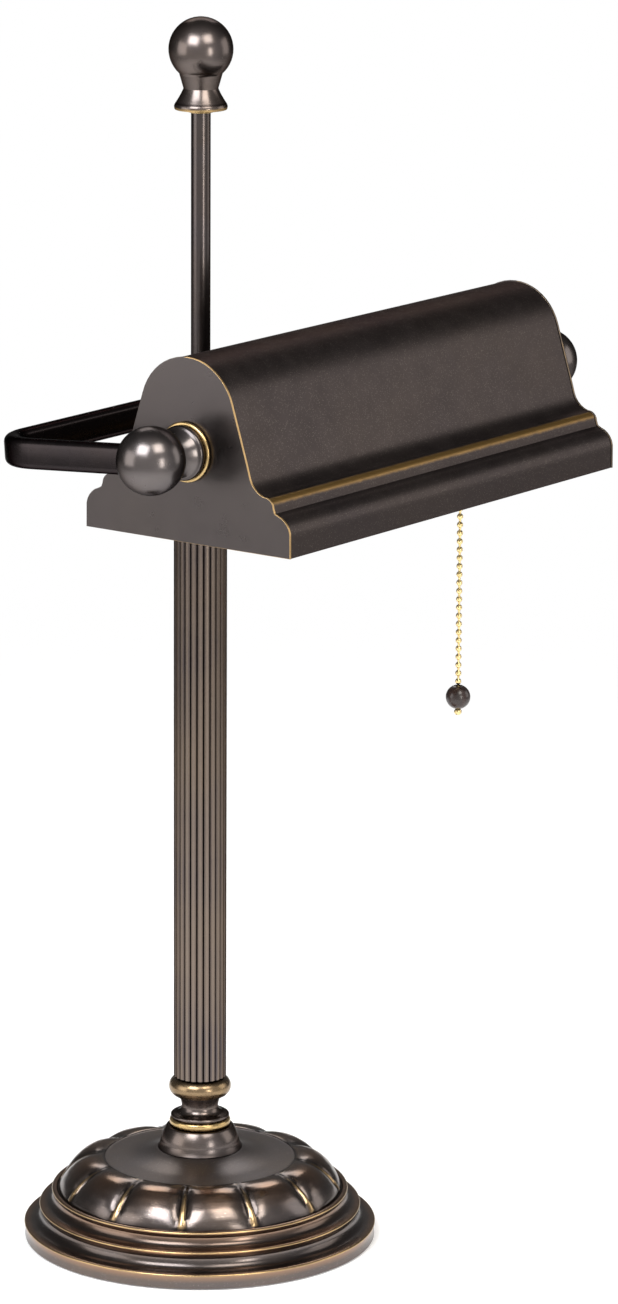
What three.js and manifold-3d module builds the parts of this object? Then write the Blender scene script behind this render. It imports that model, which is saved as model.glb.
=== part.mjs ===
// A banker desk lamp as a scene graph of separate pieces, in millimetres with +Z up.
// The post stands on the Z axis, the base rests on z = 0, and the shade hangs in front of the
// post, towards -Y, with its length along X. Left is -X and right is +X.
import * as THREE from 'three';
import { mergeVertices } from 'three/addons/utils/BufferGeometryUtils.js';
import Module from 'manifold-3d';

const wasm = await Module();
wasm.setup();

// ---------------------------------------------------------------- driving sizes

const fit = {
  seat: 0.3, // between two faces that rest on each other
  running: 0.3, // around a shaft or a pipe
  channel: 0.7, // around the electric lead where it runs inside metal
  end: 0.85, // past the end of a rod in a blind hole
};

const pipe = { radius: 4.76, bore: 3.3 }; // one eighth lamp pipe
const lead = { radius: 1.7, bend: 6 };
const nut = { acrossFlats: 16, thickness: 4.2 };

const pad = { thickness: 2, margin: 1.2 };
const shell = { wall: 2, standOff: 0.5 };
const rim = { radius: 88.9, height: 7.55 };
const lowerStep = { radius: rim.radius - 7.6, height: 16.8 };
const upperStep = { radius: lowerStep.radius - 6.3, height: 25 };
const lobes = {
  count: 12, outer: upperStep.radius - 3.6, inner: 48.5, footHeight: 24, topHeight: 41.4,
  crown: 2.9, bulge: 3, rib: 1.1,
};
const cone = { radius: 20.5, height: 45.6, flare: 9 };
const weight = { gap: 0.5, recess: 30, grooveWidth: 6.5, grooveHeight: 7 };
const stem = { foot: 10, washerRadius: 26, washerThickness: 1.5 };
const inlet = { height: 11.9, flange: 3.5, flangeThickness: 1.4, bore: 2.1, sleeve: 2.8, drop: 20 };

const cup = { height: 11.4, topRadius: 16 };
const checkRing = { radius: 15.5, height: 3.6 };
const neck = { height: 10.9, footRadius: 14.9, waist: 9.25, topRadius: 10.3 };
const bead = { radius: 15.7, section: 5.1, height: 10.3 };
const column = { radius: 13.27, bore: 10.4, length: 312.6, reeds: 24, groove: 0.85, spigot: 4 };
const cap = { radius: 14.4, height: 9.7, rimHeight: 4.4, topRadius: 8.4, pipeDepth: 3.6 };
const rod = { radius: 4.785, bore: 3.3, slotWidth: 4, spare: 5.9 };

const collar = { radius: 11.5, height: 11.2 };
const thumbscrew = { shank: 2, head: 6.4, headThickness: 5, facets: 20 };
const hub = { radius: 15, height: 22.4, grooveRadius: 7.6, grooveHeight: 10, pocketDepth: 5.1 };
const travel = 125; // of the collar up the rod

const bar = { height: 14.4, width: 8.4, round: 3.4, bendRadius: 25, reach: 94.84, rise: 4.36 };
const grub = { radius: 1.6, length: 7.6 };

const knob = { ballRadius: 16.27, footDistance: 24.26, footRadius: 13.1, neckRadius: 8.1 };
const finial = { ballRadius: 15.77, footDistance: 29.2, bore: 18 };
const underRing = { radius: 6.3, height: 1.15 };
const pivotRing = { radius: 14.05, thickness: 2.1 };
const pivotWasher = { radius: 9.5, thickness: 1.1 };
const stud = { inside: 11, outside: 17 };

const shade = { halfLength: 133.9, sheet: 1, plate: 1.2, plateProud: 0.4 };
// The front half of an end plate's edge, as (y, z) from the pivot.
const plateEdge = {
  lipFoot: [59.6, -43.1],
  lipTop: [59.5, -31.8],
  rollCorner: [58.3, -25.4],
  rollEnd: [52.6, -23.8],
  stepTop: [50.7, -22.8],
  stepBack: [49.9, -20.8],
  coveCorner: [49.2, -16.6],
  coveEnd: [44.5, -15.9],
  flankCorner: [38.3, -14.5],
  flankTop: [34.3, -1],
  crown: { height: 17.2, radius: 27.2, start: 0.29 },
};
const bracket = { thickness: 1.2, halfWidth: 9, height: 19, depth: 19.4, foot: 10.5 };
const socket = {
  shellRadius: 16.2, wall: 0.8, length: 51, capWall: 0.9, capLength: 15, linerThickness: 0.6,
  screwBore: 13.5, screwDepth: 21, chainFromBack: 24.8,
};
const bulb = { baseRadius: 12.9, baseLength: 23, glassRadius: 15.9, length: 142, wall: 0.9 };
const bell = { radius: 4.2, throat: 2, length: 8 };
const chain = { beadRadius: 1.6, link: 0.6, pitch: 4.2, beads: 31 };
const hook = { radius: 0.9, eye: 1.5, drop: 2.4 };
const coupler = { radius: 2.1, length: 5, gap: 1.4 };
const pullBall = { radius: 6.15, chainBelowCentre: 3.2 };
const pullTip = { radius: 2.3, length: 2.6 };

// ---------------------------------------------------------------- finishes

const finish = {
  bronze: { color: 0x3b332e, roughness: 0.35, metalness: 0.9 },
  satinBronze: { color: 0x4a423c, roughness: 0.55, metalness: 0.8 },
  brass: { color: 0xb08a4a, roughness: 0.3, metalness: 1 },
  iron: { color: 0x2c2c2e, roughness: 0.8, metalness: 0.6 },
  steel: { color: 0x8c8e90, roughness: 0.4, metalness: 1 },
  felt: { color: 0x2f3a30, roughness: 1, metalness: 0 },
  phenolic: { color: 0x1c1a19, roughness: 0.5, metalness: 0 },
  fibre: { color: 0xb9a27c, roughness: 0.9, metalness: 0 },
  plastic: { color: 0x171717, roughness: 0.6, metalness: 0 },
  wood: { color: 0x33201a, roughness: 0.4, metalness: 0 },
  glass: { color: 0xf4f1e8, roughness: 0.25, metalness: 0 },
};

const lamp = new THREE.Group();

// Adds one named piece to a group.
function addPiece(name, geometry, look, parent = lamp) {
  const mesh = new THREE.Mesh(geometry, new THREE.MeshStandardMaterial(finish[look]));
  mesh.name = name;
  parent.add(mesh);
  return mesh;
}

// ---------------------------------------------------------------- shaping tools

function toSolid(geometry) {
  const bare = geometry.index ? geometry.toNonIndexed() : geometry.clone();
  bare.deleteAttribute('normal');
  bare.deleteAttribute('uv');
  const merged = mergeVertices(bare, 1e-4);
  const triVerts = new Uint32Array(merged.index.array);
  const vertProperties = merged.attributes.position.array;
  return new wasm.Manifold(new wasm.Mesh({ numProp: 3, vertProperties, triVerts }));
}

function toGeometry(solid) {
  const { vertProperties, triVerts } = solid.getMesh();
  const geometry = new THREE.BufferGeometry();
  geometry.setAttribute('position', new THREE.BufferAttribute(vertProperties, 3));
  geometry.setIndex(new THREE.BufferAttribute(triVerts, 1));
  const flat = geometry.toNonIndexed();
  flat.computeVertexNormals();
  return flat;
}

// A body with other bodies taken out of it.
function cut(body, ...tools) {
  const left = tools.reduce((solid, tool) => solid.subtract(toSolid(tool)), toSolid(body));
  return toGeometry(left);
}

// A profile drawn as (radius, height), counter-clockwise, turned round the Z axis.
function turned(profile, segments = 24, divisions = 3) {
  const points = profile.getPoints(divisions);
  const first = points[0];
  const last = points[points.length - 1];
  if (first.x > 0 && first.distanceTo(last) > 0) points.push(first.clone());
  return new THREE.LatheGeometry(points, segments).rotateX(Math.PI / 2);
}

// A plain round bar or tube on the Z axis from one height to another.
function tube(outer, inner, bottom, top, segments = 20) {
  const profile = new THREE.Path().moveTo(inner, bottom).lineTo(outer, bottom);
  profile.lineTo(outer, top).lineTo(inner, top);
  return turned(profile, segments);
}

// Turns what stands along Z to lie along X: x becomes Y, y becomes Z and z becomes X.
function alongX(geometry) {
  const [x, y, z] = [new THREE.Vector3(1, 0, 0), new THREE.Vector3(0, 1, 0), new THREE.Vector3(0, 0, 1)];
  return geometry.applyMatrix4(new THREE.Matrix4().makeBasis(y, z, x));
}

// Turns what stands along Z to lie along Y.
function alongY(geometry) {
  return geometry.rotateX(-Math.PI / 2);
}

// Faces a piece made for the right-hand end to the left-hand one.
function facing(side, geometry) {
  return side > 0 ? geometry : geometry.rotateZ(Math.PI);
}

function polygon(radius, sides, twist = 0) {
  const shape = new THREE.Shape();
  for (let i = 0; i < sides; i++) {
    const angle = twist + (i * 2 * Math.PI) / sides;
    const x = radius * Math.cos(angle);
    const y = radius * Math.sin(angle);
    if (i) shape.lineTo(x, y);
    else shape.moveTo(x, y);
  }
  return shape.closePath();
}

function extruded(shape, depth, extra = {}) {
  return new THREE.ExtrudeGeometry(shape, { depth, bevelEnabled: false, ...extra });
}

function hexNut(bottom, size = nut.acrossFlats, thickness = nut.thickness) {
  const body = extruded(polygon(size / Math.sqrt(3), 6), thickness).translate(0, 0, bottom);
  return cut(body, tube(pipe.radius + fit.running, 0, bottom - 1, bottom + thickness + 1));
}

// Straight runs and bends, sampled once along each run and several times round each bend.
class BentRoute extends THREE.Curve {
  constructor(pieces, stepsPerBend = 5) {
    super();
    this.stretches = pieces.flatMap((piece) => {
      const steps = piece.isLineCurve3 ? 1 : stepsPerBend;
      return Array.from({ length: steps }, (_, i) => ({ piece, start: i / steps, share: 1 / steps }));
    });
  }

  locate(u) {
    const place = u * this.stretches.length;
    const index = Math.min(Math.floor(place + 1e-6), this.stretches.length - 1);
    const { piece, start, share } = this.stretches[index];
    return [piece, THREE.MathUtils.clamp(start + (place - index) * share, 0, 1)];
  }

  getPointAt(u) {
    const [piece, t] = this.locate(u);
    return piece.getPoint(t);
  }

  getTangentAt(u) {
    const [piece, t] = this.locate(u);
    return piece.getTangent(t);
  }
}

// The runs between corners, with a bend of its own size at each inner corner.
function piecesBetween(corners, bends) {
  const pieces = [];
  let from = corners[0];
  for (let i = 1; i < corners.length - 1; i++) {
    const corner = corners[i];
    const before = corners[i - 1].clone().sub(corner).setLength(bends[i - 1]).add(corner);
    const after = corners[i + 1].clone().sub(corner).setLength(bends[i - 1]).add(corner);
    pieces.push(new THREE.LineCurve3(from, before), new THREE.QuadraticBezierCurve3(before, corner, after));
    from = after;
  }
  pieces.push(new THREE.LineCurve3(from, corners[corners.length - 1]));
  return pieces;
}

// A round bar through corners given as [x, y, z].
function barThrough(corners, bends, radius, sides = 8) {
  const route = new BentRoute(piecesBetween(corners.map((corner) => new THREE.Vector3(...corner)), bends));
  const steps = route.stretches.length;
  return new THREE.ExtrudeGeometry(polygon(radius, sides), { steps, extrudePath: route, bevelEnabled: false });
}

const boreRadius = pipe.radius + fit.running;
const rodHole = rod.radius + fit.running;
const channelRadius = lead.radius + fit.channel;

// ---------------------------------------------------------------- heights up the post

const cupBottom = cone.height + fit.seat;
const ringBottom = cupBottom + cup.height + fit.seat;
const neckBottom = ringBottom + checkRing.height + fit.seat;
const beadBottom = neckBottom + neck.height + fit.seat;
const columnBottom = beadBottom + bead.height + fit.seat;
const columnTop = columnBottom + column.length;
const capBottom = columnTop + fit.seat;
const pipeTop = capBottom + cap.pipeDepth;
const rodBottom = pipeTop + fit.seat;
const collarBottom = capBottom + cap.height + fit.seat;
const hubCentre = collarBottom + collar.height + fit.seat + hub.height / 2;
const underRingBottom = hubCentre + hub.height / 2 + travel + rod.spare;
const finialFoot = underRingBottom + underRing.height + fit.seat;
const rodTop = finialFoot + finial.bore - fit.end;

// ---------------------------------------------------------------- base

const coveDepth = 1.6; // how far a step's hollow moulding sinks in behind the step's edge
const lowerRoom = lowerStep.radius - coveDepth - shell.wall;
const upperRoom = upperStep.radius - coveDepth - shell.wall;

// A hollow moulding that sweeps in from the edge of one step and up to the edge of the next.
function addCove(profile, from, to) {
  profile.lineTo(from.radius - 0.7, from.height);
  profile.lineTo(from.radius - 2, from.height + 0.2);
  profile.quadraticCurveTo(to.radius - coveDepth, from.height + 0.4, to.radius - coveDepth, (from.height + to.height) / 2 + 1);
  profile.lineTo(to.radius, to.height - 1);
}

// The outer profile of the base, from the middle of its underside to the foot of the lobes.
function baseFootProfile() {
  const profile = new THREE.Path().moveTo(0, shell.standOff).lineTo(rim.radius - 0.4, shell.standOff);
  profile.quadraticCurveTo(rim.radius - 0.9, rim.height / 2, rim.radius, rim.height - 0.8);
  addCove(profile, rim, lowerStep);
  addCove(profile, lowerStep, upperStep);
  profile.lineTo(upperStep.radius - 0.7, upperStep.height);
  profile.lineTo(lobes.outer + 0.9, lobes.footHeight - 1.2);
  return profile.getPoints(2);
}

// The height of the lobed ring along its slope: share 0 at its foot and 1 at its top.
function lobeSlope(share) {
  const radius = THREE.MathUtils.lerp(lobes.outer, lobes.inner, share);
  const chord = THREE.MathUtils.lerp(lobes.footHeight, lobes.topHeight, share);
  return new THREE.Vector2(radius, chord + lobes.crown * Math.sin(Math.PI * share));
}

function baseShell() {
  const foot = baseFootProfile();
  const slope = [0, 0.08, 0.3, 0.55, 0.8, 0.94, 1].map(lobeSlope);
  const coneLine = new THREE.QuadraticBezierCurve(
    new THREE.Vector2(lobes.inner - 0.8, lobes.topHeight - 1),
    new THREE.Vector2(cone.radius + cone.flare, lobes.topHeight + 0.2),
    new THREE.Vector2(cone.radius, cone.height),
  );
  const axisTop = new THREE.Vector2(0, cone.height);
  const points = [...foot, ...slope, ...coneLine.getPoints(3), axisTop];
  const segmentsPerLobe = 6;
  const geometry = new THREE.LatheGeometry(points, lobes.count * segmentsPerLobe);
  swellLobes(geometry, points.length, foot.length, slope.length, segmentsPerLobe);
  return cut(geometry.rotateX(Math.PI / 2), baseHollow(), tube(boreRadius, 0, 0, 2 * cone.height), inletTool());
}

// The stepped space under the base's skin.
function baseHollow() {
  const wall = shell.wall;
  const ceiling = upperStep.height - 1 - wall;
  const profile = new THREE.Path().moveTo(0, 0).lineTo(rim.radius - wall, 0);
  profile.lineTo(rim.radius - wall, rim.height - wall).lineTo(lowerRoom, rim.height - wall);
  profile.lineTo(lowerRoom, lowerStep.height - wall).lineTo(upperRoom, lowerStep.height - wall);
  profile.lineTo(upperRoom, ceiling).lineTo(lobes.outer - 1, ceiling);
  profile.lineTo(lobes.inner, lobes.topHeight - 1 - wall);
  profile.lineTo(cone.radius + cone.flare, lobes.topHeight + 0.6 - wall).lineTo(cone.radius, cone.height - wall);
  profile.lineTo(0, cone.height - wall);
  return turned(profile, 36);
}

// Crowds the lathe's columns towards the ribs, swells the skin between them and raises the ribs.
function swellLobes(geometry, rowCount, firstRow, slopeRows, segmentsPerLobe) {
  const position = geometry.attributes.position;
  const half = segmentsPerLobe / 2;
  const pitch = (2 * Math.PI) / lobes.count;
  for (let i = 0; i < position.count; i++) {
    const column = Math.floor(i / rowCount);
    const row = i % rowCount;
    const lobe = Math.floor(column / segmentsPerLobe);
    const across = Math.sin((((column % segmentsPerLobe) - half) / half) * (Math.PI / 2));
    const angle = (lobe + 0.5 + across / 2) * pitch;
    let radius = Math.hypot(position.getX(i), position.getZ(i));
    let height = position.getY(i);
    if (row > firstRow && row < firstRow + slopeRows - 1) {
      const share = (lobes.outer - radius) / (lobes.outer - lobes.inner);
      const along = Math.sin(Math.PI * share) ** 0.5;
      const swell = Math.abs(across) > 0.99 ? lobes.rib : lobes.bulge * Math.sqrt(1 - across ** 2);
      radius += 0.45 * swell * along;
      height += 0.8 * swell * along;
    }
    position.setXYZ(i, radius * Math.sin(angle), height, radius * Math.cos(angle));
  }
}

const inletFace = lowerStep.radius - coveDepth;

// The hole for the cord bushing, with a flat seat for its flange.
function inletTool() {
  const hole = tube(inlet.sleeve + fit.running, 0, lowerStep.radius - 12, rim.radius);
  const seat = tube(inlet.flange + fit.running, 0, inletFace, rim.radius);
  return alongY(toGeometry(toSolid(hole).add(toSolid(seat)))).translate(0, 0, inlet.height);
}

function baseWeight() {
  const bottom = pad.thickness + fit.seat;
  const step = lowerStep.height - shell.wall - weight.gap;
  const top = upperStep.height - 1 - shell.wall - weight.gap;
  const recessTop = stem.foot + nut.thickness + stem.washerThickness + 3 * fit.seat + 0.7;
  const wide = lowerRoom - weight.gap;
  const narrow = upperRoom - weight.gap;
  const profile = new THREE.Path().moveTo(weight.recess, bottom).lineTo(wide, bottom);
  profile.lineTo(wide, rim.height - shell.wall - weight.gap).lineTo(wide - 0.1, step);
  profile.lineTo(narrow, step).lineTo(narrow, top).lineTo(boreRadius, top);
  profile.lineTo(boreRadius, recessTop).lineTo(weight.recess, recessTop);
  const groove = new THREE.BoxGeometry(weight.grooveWidth, wide + 5, weight.grooveHeight)
    .translate(0, (wide + 5) / 2, bottom + weight.grooveHeight / 2 - 0.5);
  const riserLength = inlet.drop + 16;
  const riser = new THREE.BoxGeometry(weight.grooveWidth, riserLength, inlet.height + 2 * inlet.sleeve)
    .translate(0, lowerStep.radius + 4 - riserLength / 2, (inlet.height + 2 * inlet.sleeve) / 2);
  return cut(turned(profile, 40), groove, riser);
}

function cordBushing() {
  const face = inletFace + fit.seat;
  const back = inletFace - shell.wall - 4;
  const profile = new THREE.Path().moveTo(inlet.bore, back).lineTo(inlet.sleeve, back);
  profile.lineTo(inlet.sleeve, face).lineTo(inlet.flange, face);
  profile.lineTo(inlet.flange - 0.5, face + inlet.flangeThickness);
  profile.lineTo(inlet.bore, face + inlet.flangeThickness);
  return alongY(turned(profile, 20)).translate(0, 0, inlet.height);
}

const padRadius = rim.radius - shell.wall - pad.margin;
addPiece('felt_pad', tube(padRadius, 0, 0, pad.thickness, 48), 'felt');
addPiece('base_shell', baseShell(), 'bronze');
addPiece('base_weight', baseWeight(), 'iron');
const nutBottom = stem.foot + 1;
const washerBottom = nutBottom + nut.thickness + fit.seat;
addPiece('base_nut', hexNut(nutBottom), 'steel');
addPiece('base_washer', tube(stem.washerRadius, boreRadius, washerBottom, washerBottom + stem.washerThickness, 32), 'steel');
addPiece('cord_bushing', cordBushing(), 'plastic');

// ---------------------------------------------------------------- post

function bellCup() {
  const profile = new THREE.Path().moveTo(boreRadius, cupBottom).lineTo(cone.radius, cupBottom);
  profile.quadraticCurveTo(cone.radius + 0.4, cupBottom + 0.57 * cup.height, cup.topRadius, cupBottom + cup.height);
  profile.lineTo(boreRadius, cupBottom + cup.height);
  return turned(profile, 24, 5);
}

function bulgedRing(outer, bottom, height) {
  const profile = new THREE.Path().moveTo(boreRadius, bottom).lineTo(outer - 0.8, bottom);
  profile.quadraticCurveTo(outer + 0.4, bottom + height / 2, outer - 0.8, bottom + height);
  profile.lineTo(boreRadius, bottom + height);
  return turned(profile, 24, 2);
}

function neckSpool() {
  const top = neckBottom + neck.height;
  const profile = new THREE.Path().moveTo(boreRadius, neckBottom).lineTo(neck.footRadius, neckBottom);
  profile.lineTo(neck.footRadius - 1.5, neckBottom + 1.4);
  profile.quadraticCurveTo(neck.waist + 0.2, neckBottom + 2.6, neck.waist, neckBottom + 5.6);
  profile.quadraticCurveTo(neck.waist, top - 1.6, neck.topRadius, top);
  profile.lineTo(boreRadius, top);
  return turned(profile, 24, 3);
}

function collarBead() {
  const top = beadBottom + bead.height;
  const centreRadius = bead.radius - bead.section;
  const rise = 0.54 * bead.height;
  const profile = new THREE.Path().moveTo(boreRadius, beadBottom);
  profile.absellipse(centreRadius, beadBottom + rise, bead.section, rise, -Math.PI / 2, 0.97);
  profile.lineTo(column.bore - fit.running, top).lineTo(column.bore - fit.running, top + column.spigot);
  profile.lineTo(boreRadius, top + column.spigot);
  return turned(profile, 24, 3);
}

// A tube whose outside is a ring of rounded reeds with a narrow groove between each two.
function reededColumn() {
  const outline = new THREE.Shape();
  const pitch = (2 * Math.PI) / column.reeds;
  const reed = [
    [0, column.groove],
    [0.13, 0.25],
    [0.5, 0],
    [0.87, 0.25],
  ];
  for (let i = 0; i < column.reeds; i++) {
    for (const [share, depth] of reed) {
      const angle = (i + share) * pitch;
      const radius = column.radius - depth;
      const point = [radius * Math.cos(angle), radius * Math.sin(angle)];
      if (i || share) outline.lineTo(...point);
      else outline.moveTo(...point);
    }
  }
  outline.closePath();
  outline.holes.push(polygon(column.bore, column.reeds));
  return extruded(outline, column.length).translate(0, 0, columnBottom);
}

function columnCap() {
  const top = capBottom + cap.height;
  const rimTop = capBottom + cap.rimHeight;
  const spigot = column.bore - fit.running - 0.2;
  const profile = new THREE.Path().moveTo(boreRadius, capBottom - column.spigot);
  profile.lineTo(spigot, capBottom - column.spigot).lineTo(spigot, capBottom);
  profile.lineTo(cap.radius - 0.9, capBottom);
  profile.quadraticCurveTo(cap.radius + 0.9, (capBottom + rimTop) / 2, cap.radius - 0.9, rimTop);
  profile.quadraticCurveTo(cap.topRadius + 0.5, rimTop + 1, cap.topRadius, top);
  profile.lineTo(rodHole, top).lineTo(rodHole, rodBottom).lineTo(boreRadius, rodBottom);
  return turned(profile, 24, 2);
}

// The slot lets the lead leave the rod at any height of the collar.
function upperRod() {
  const slotBottom = hubCentre - 8;
  const slotTop = hubCentre + travel + 8;
  const slot = new THREE.BoxGeometry(2 * rod.radius, rod.slotWidth, slotTop - slotBottom)
    .translate(rod.radius, 0, (slotBottom + slotTop) / 2);
  return cut(tube(rod.radius, rod.bore, rodBottom, rodTop), slot);
}

// A ball on a short neck and a flared foot, drawn from the face of its foot upwards.
function ballOnFoot(ballRadius, footDistance, holeRadius, holeDepth) {
  const foot = -footDistance;
  const joinRadius = knob.neckRadius + 1.3;
  const joinAngle = -Math.acos(joinRadius / ballRadius);
  const profile = new THREE.Path().moveTo(holeRadius, foot).lineTo(knob.footRadius - 0.9, foot);
  profile.lineTo(knob.footRadius, foot + 1.2).lineTo(knob.footRadius, foot + 2.4);
  profile.lineTo(knob.footRadius - 1.1, foot + 3.8);
  profile.quadraticCurveTo(knob.neckRadius + 0.8, foot + 7.2, knob.neckRadius, foot + 10.4);
  profile.absarc(0, 0, ballRadius, joinAngle, Math.PI / 2);
  profile.lineTo(0, foot + holeDepth).lineTo(holeRadius, foot + holeDepth);
  return turned(profile, 24, 4);
}

addPiece('bell_cup', bellCup(), 'bronze');
addPiece('check_ring', bulgedRing(checkRing.radius, ringBottom, checkRing.height), 'brass');
addPiece('neck_spool', neckSpool(), 'bronze');
addPiece('collar_bead', collarBead(), 'brass');
addPiece('column', reededColumn(), 'bronze');
addPiece('column_cap', columnCap(), 'bronze');
addPiece('stem_pipe', tube(pipe.radius, pipe.bore, stem.foot, pipeTop), 'steel');
addPiece('upper_rod', upperRod(), 'bronze');
addPiece('finial_ring', tube(underRing.radius, rodHole, underRingBottom, underRingBottom + underRing.height), 'brass');
const finialBody = ballOnFoot(finial.ballRadius, finial.footDistance, rodHole, finial.bore);
addPiece('finial', finialBody, 'bronze').position.z = finialFoot + finial.footDistance;

// ---------------------------------------------------------------- height collar

function heightCollar() {
  const top = collarBottom + collar.height;
  const profile = new THREE.Path().moveTo(rodHole, collarBottom).lineTo(collar.radius - 0.8, collarBottom);
  profile.lineTo(collar.radius, collarBottom + 0.8).lineTo(collar.radius, top - 0.8);
  profile.lineTo(collar.radius - 0.8, top).lineTo(rodHole, top);
  const hole = alongY(tube(thumbscrew.shank + fit.running, 0, 0, 2 * collar.radius, 16))
    .translate(0, 0, collarBottom + collar.height / 2);
  return cut(turned(profile), hole);
}

function thumbscrewBody() {
  const start = rod.radius + fit.seat;
  const headStart = hub.radius + 4 * fit.seat;
  const shank = tube(thumbscrew.shank, 0, start, headStart + 1, 16);
  const head = extruded(polygon(thumbscrew.head, thumbscrew.facets), thumbscrew.headThickness)
    .translate(0, 0, headStart);
  return alongY(toGeometry(toSolid(shank).add(toSolid(head))));
}

addPiece('height_collar', heightCollar(), 'bronze');
addPiece('thumbscrew', thumbscrewBody(), 'brass').position.z = collarBottom + collar.height / 2;

// ---------------------------------------------------------------- yoke

const yoke = new THREE.Group();
yoke.position.z = hubCentre;
yoke.rotation.x = -THREE.MathUtils.degToRad(bar.rise);
yoke.updateMatrix();
lamp.add(yoke);

const shadeInner = shade.halfLength - shade.plate;
const ringInner = shade.halfLength + fit.seat;
const knobFoot = ringInner + pivotRing.thickness + fit.seat;
const halfSpan = knobFoot + knob.footDistance;
const armStart = hub.radius - hub.pocketDepth;
const armEnd = -bar.reach - 2;

// One half of the yoke's bar, flat in the yoke's own XY plane, with its edges rounded.
function armBody(side, grow = 0) {
  const half = bar.width / 2 + grow;
  const turn = halfSpan - bar.bendRadius;
  const outline = new THREE.Shape().moveTo(side * (armStart - grow), half).lineTo(side * turn, half);
  const quarter = 6;
  for (let i = 1; i <= quarter; i++) {
    const angle = ((1 - i / quarter) * Math.PI) / 2;
    const radius = bar.bendRadius + half;
    outline.lineTo(side * (turn + radius * Math.cos(angle)), radius * Math.sin(angle) - bar.bendRadius);
  }
  outline.lineTo(side * (halfSpan + half), armEnd - grow).lineTo(side * (halfSpan - half), armEnd - grow);
  for (let i = 0; i <= quarter; i++) {
    const angle = ((i / quarter) * Math.PI) / 2;
    const radius = bar.bendRadius - half;
    outline.lineTo(side * (turn + radius * Math.cos(angle)), radius * Math.sin(angle) - bar.bendRadius);
  }
  outline.lineTo(side * (armStart - grow), -half).closePath();
  const height = bar.height + 2 * grow;
  const bevel = { bevelEnabled: true, bevelThickness: bar.round, bevelSize: bar.round, bevelOffset: -bar.round };
  return extruded(outline, height - 2 * bar.round, { ...bevel, bevelSegments: 3 })
    .translate(0, 0, bar.round - height / 2);
}

// The lead's way from the rod, through the right arm, into the right knob and out along the pivot.
function throughYoke(start, end, radius) {
  const corners = [[start, 0, 0], [halfSpan, 0, 0], [halfSpan, -bar.reach, 0], [end, -bar.reach, 0]];
  return barThrough(corners, [bar.bendRadius, lead.bend], radius);
}

const studInner = shade.halfLength - stud.inside;
const studOuter = knobFoot + stud.outside;
const leadEnd = studInner - 1;
const channel = throughYoke(hub.grooveRadius - 1, studOuter - 1, channelRadius);

function yokeHub() {
  const half = hub.height / 2;
  const profile = new THREE.Path().moveTo(rodHole, -half).lineTo(hub.radius - 1, -half);
  profile.lineTo(hub.radius, 1 - half).lineTo(hub.radius, half - 1).lineTo(hub.radius - 1, half);
  profile.lineTo(rodHole, half).lineTo(rodHole, hub.grooveHeight / 2);
  profile.lineTo(hub.grooveRadius, hub.grooveHeight / 2).lineTo(hub.grooveRadius, -hub.grooveHeight / 2);
  profile.lineTo(rodHole, -hub.grooveHeight / 2);
  const tilt = new THREE.Matrix4().makeRotationX(yoke.rotation.x);
  const pockets = [-1, 1].map((side) => armBody(side, fit.seat).applyMatrix4(tilt));
  const screwHoles = [-1, 1].map((side) => armScrew(side, fit.running).applyMatrix4(tilt));
  return cut(turned(profile), ...pockets, ...screwHoles, channel.clone().applyMatrix4(tilt));
}

// A grub screw that enters the hub from behind and bears on the arm's end.
function armScrew(side, grow = 0) {
  const start = grow ? 0 : bar.width / 2 + fit.seat;
  const length = grow ? hub.radius : 3.6;
  const x = side * (armStart + hub.pocketDepth / 2);
  return alongY(tube(grub.radius + grow, 0, start, start + length, 12)).translate(x, 0, 0);
}

// A grub screw that enters the knob from below and bears on the arm's end.
function knobScrew(side, grow = 0) {
  const top = grow ? 0 : -bar.height / 2 - fit.seat;
  const length = grow ? 2 * knob.ballRadius : grub.length;
  return tube(grub.radius + 0.4 + grow, 0, top - length, top, 12).translate(side * halfSpan, -bar.reach, 0);
}

function pivotKnob(side) {
  const depth = studOuter - knobFoot + fit.seat;
  const body = alongX(ballOnFoot(knob.ballRadius, knob.footDistance, boreRadius, depth));
  const placed = facing(side, body).translate(side * halfSpan, -bar.reach, 0);
  const tools = [armBody(side, fit.seat), knobScrew(side, fit.running)];
  if (side > 0) tools.push(channel.clone());
  return cut(placed, ...tools);
}

// A tube on the pivot's axis, between two distances out from the middle.
function pivotTube(side, outer, inner, from, to) {
  return facing(side, alongX(tube(outer, inner, from, to))).translate(0, -bar.reach, 0);
}

addPiece('yoke_hub', yokeHub(), 'bronze').position.z = hubCentre;
for (const [name, side] of [['left', -1], ['right', 1]]) {
  const arm = armBody(side);
  addPiece(`yoke_arm_${name}`, side > 0 ? cut(arm, channel.clone()) : arm, 'bronze', yoke);
  addPiece(`arm_screw_${name}`, armScrew(side), 'steel', yoke);
  addPiece(`pivot_knob_${name}`, pivotKnob(side), 'bronze', yoke);
  addPiece(`knob_screw_${name}`, knobScrew(side), 'steel', yoke);
  const ringBody = pivotTube(side, pivotRing.radius, boreRadius, ringInner, ringInner + pivotRing.thickness);
  addPiece(`pivot_ring_${name}`, ringBody, 'brass', yoke);
  addPiece(`pivot_stud_${name}`, pivotTube(side, pipe.radius, pipe.bore, studInner, studOuter), 'steel', yoke);
}
addPiece('lead_yoke', throughYoke(rod.radius + 2 * fit.running, leadEnd, lead.radius), 'plastic', yoke);

// ---------------------------------------------------------------- shade

const shadeGroup = new THREE.Group();
shadeGroup.position.set(0, -bar.reach, 0).applyMatrix4(yoke.matrix);
lamp.add(shadeGroup);

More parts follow.
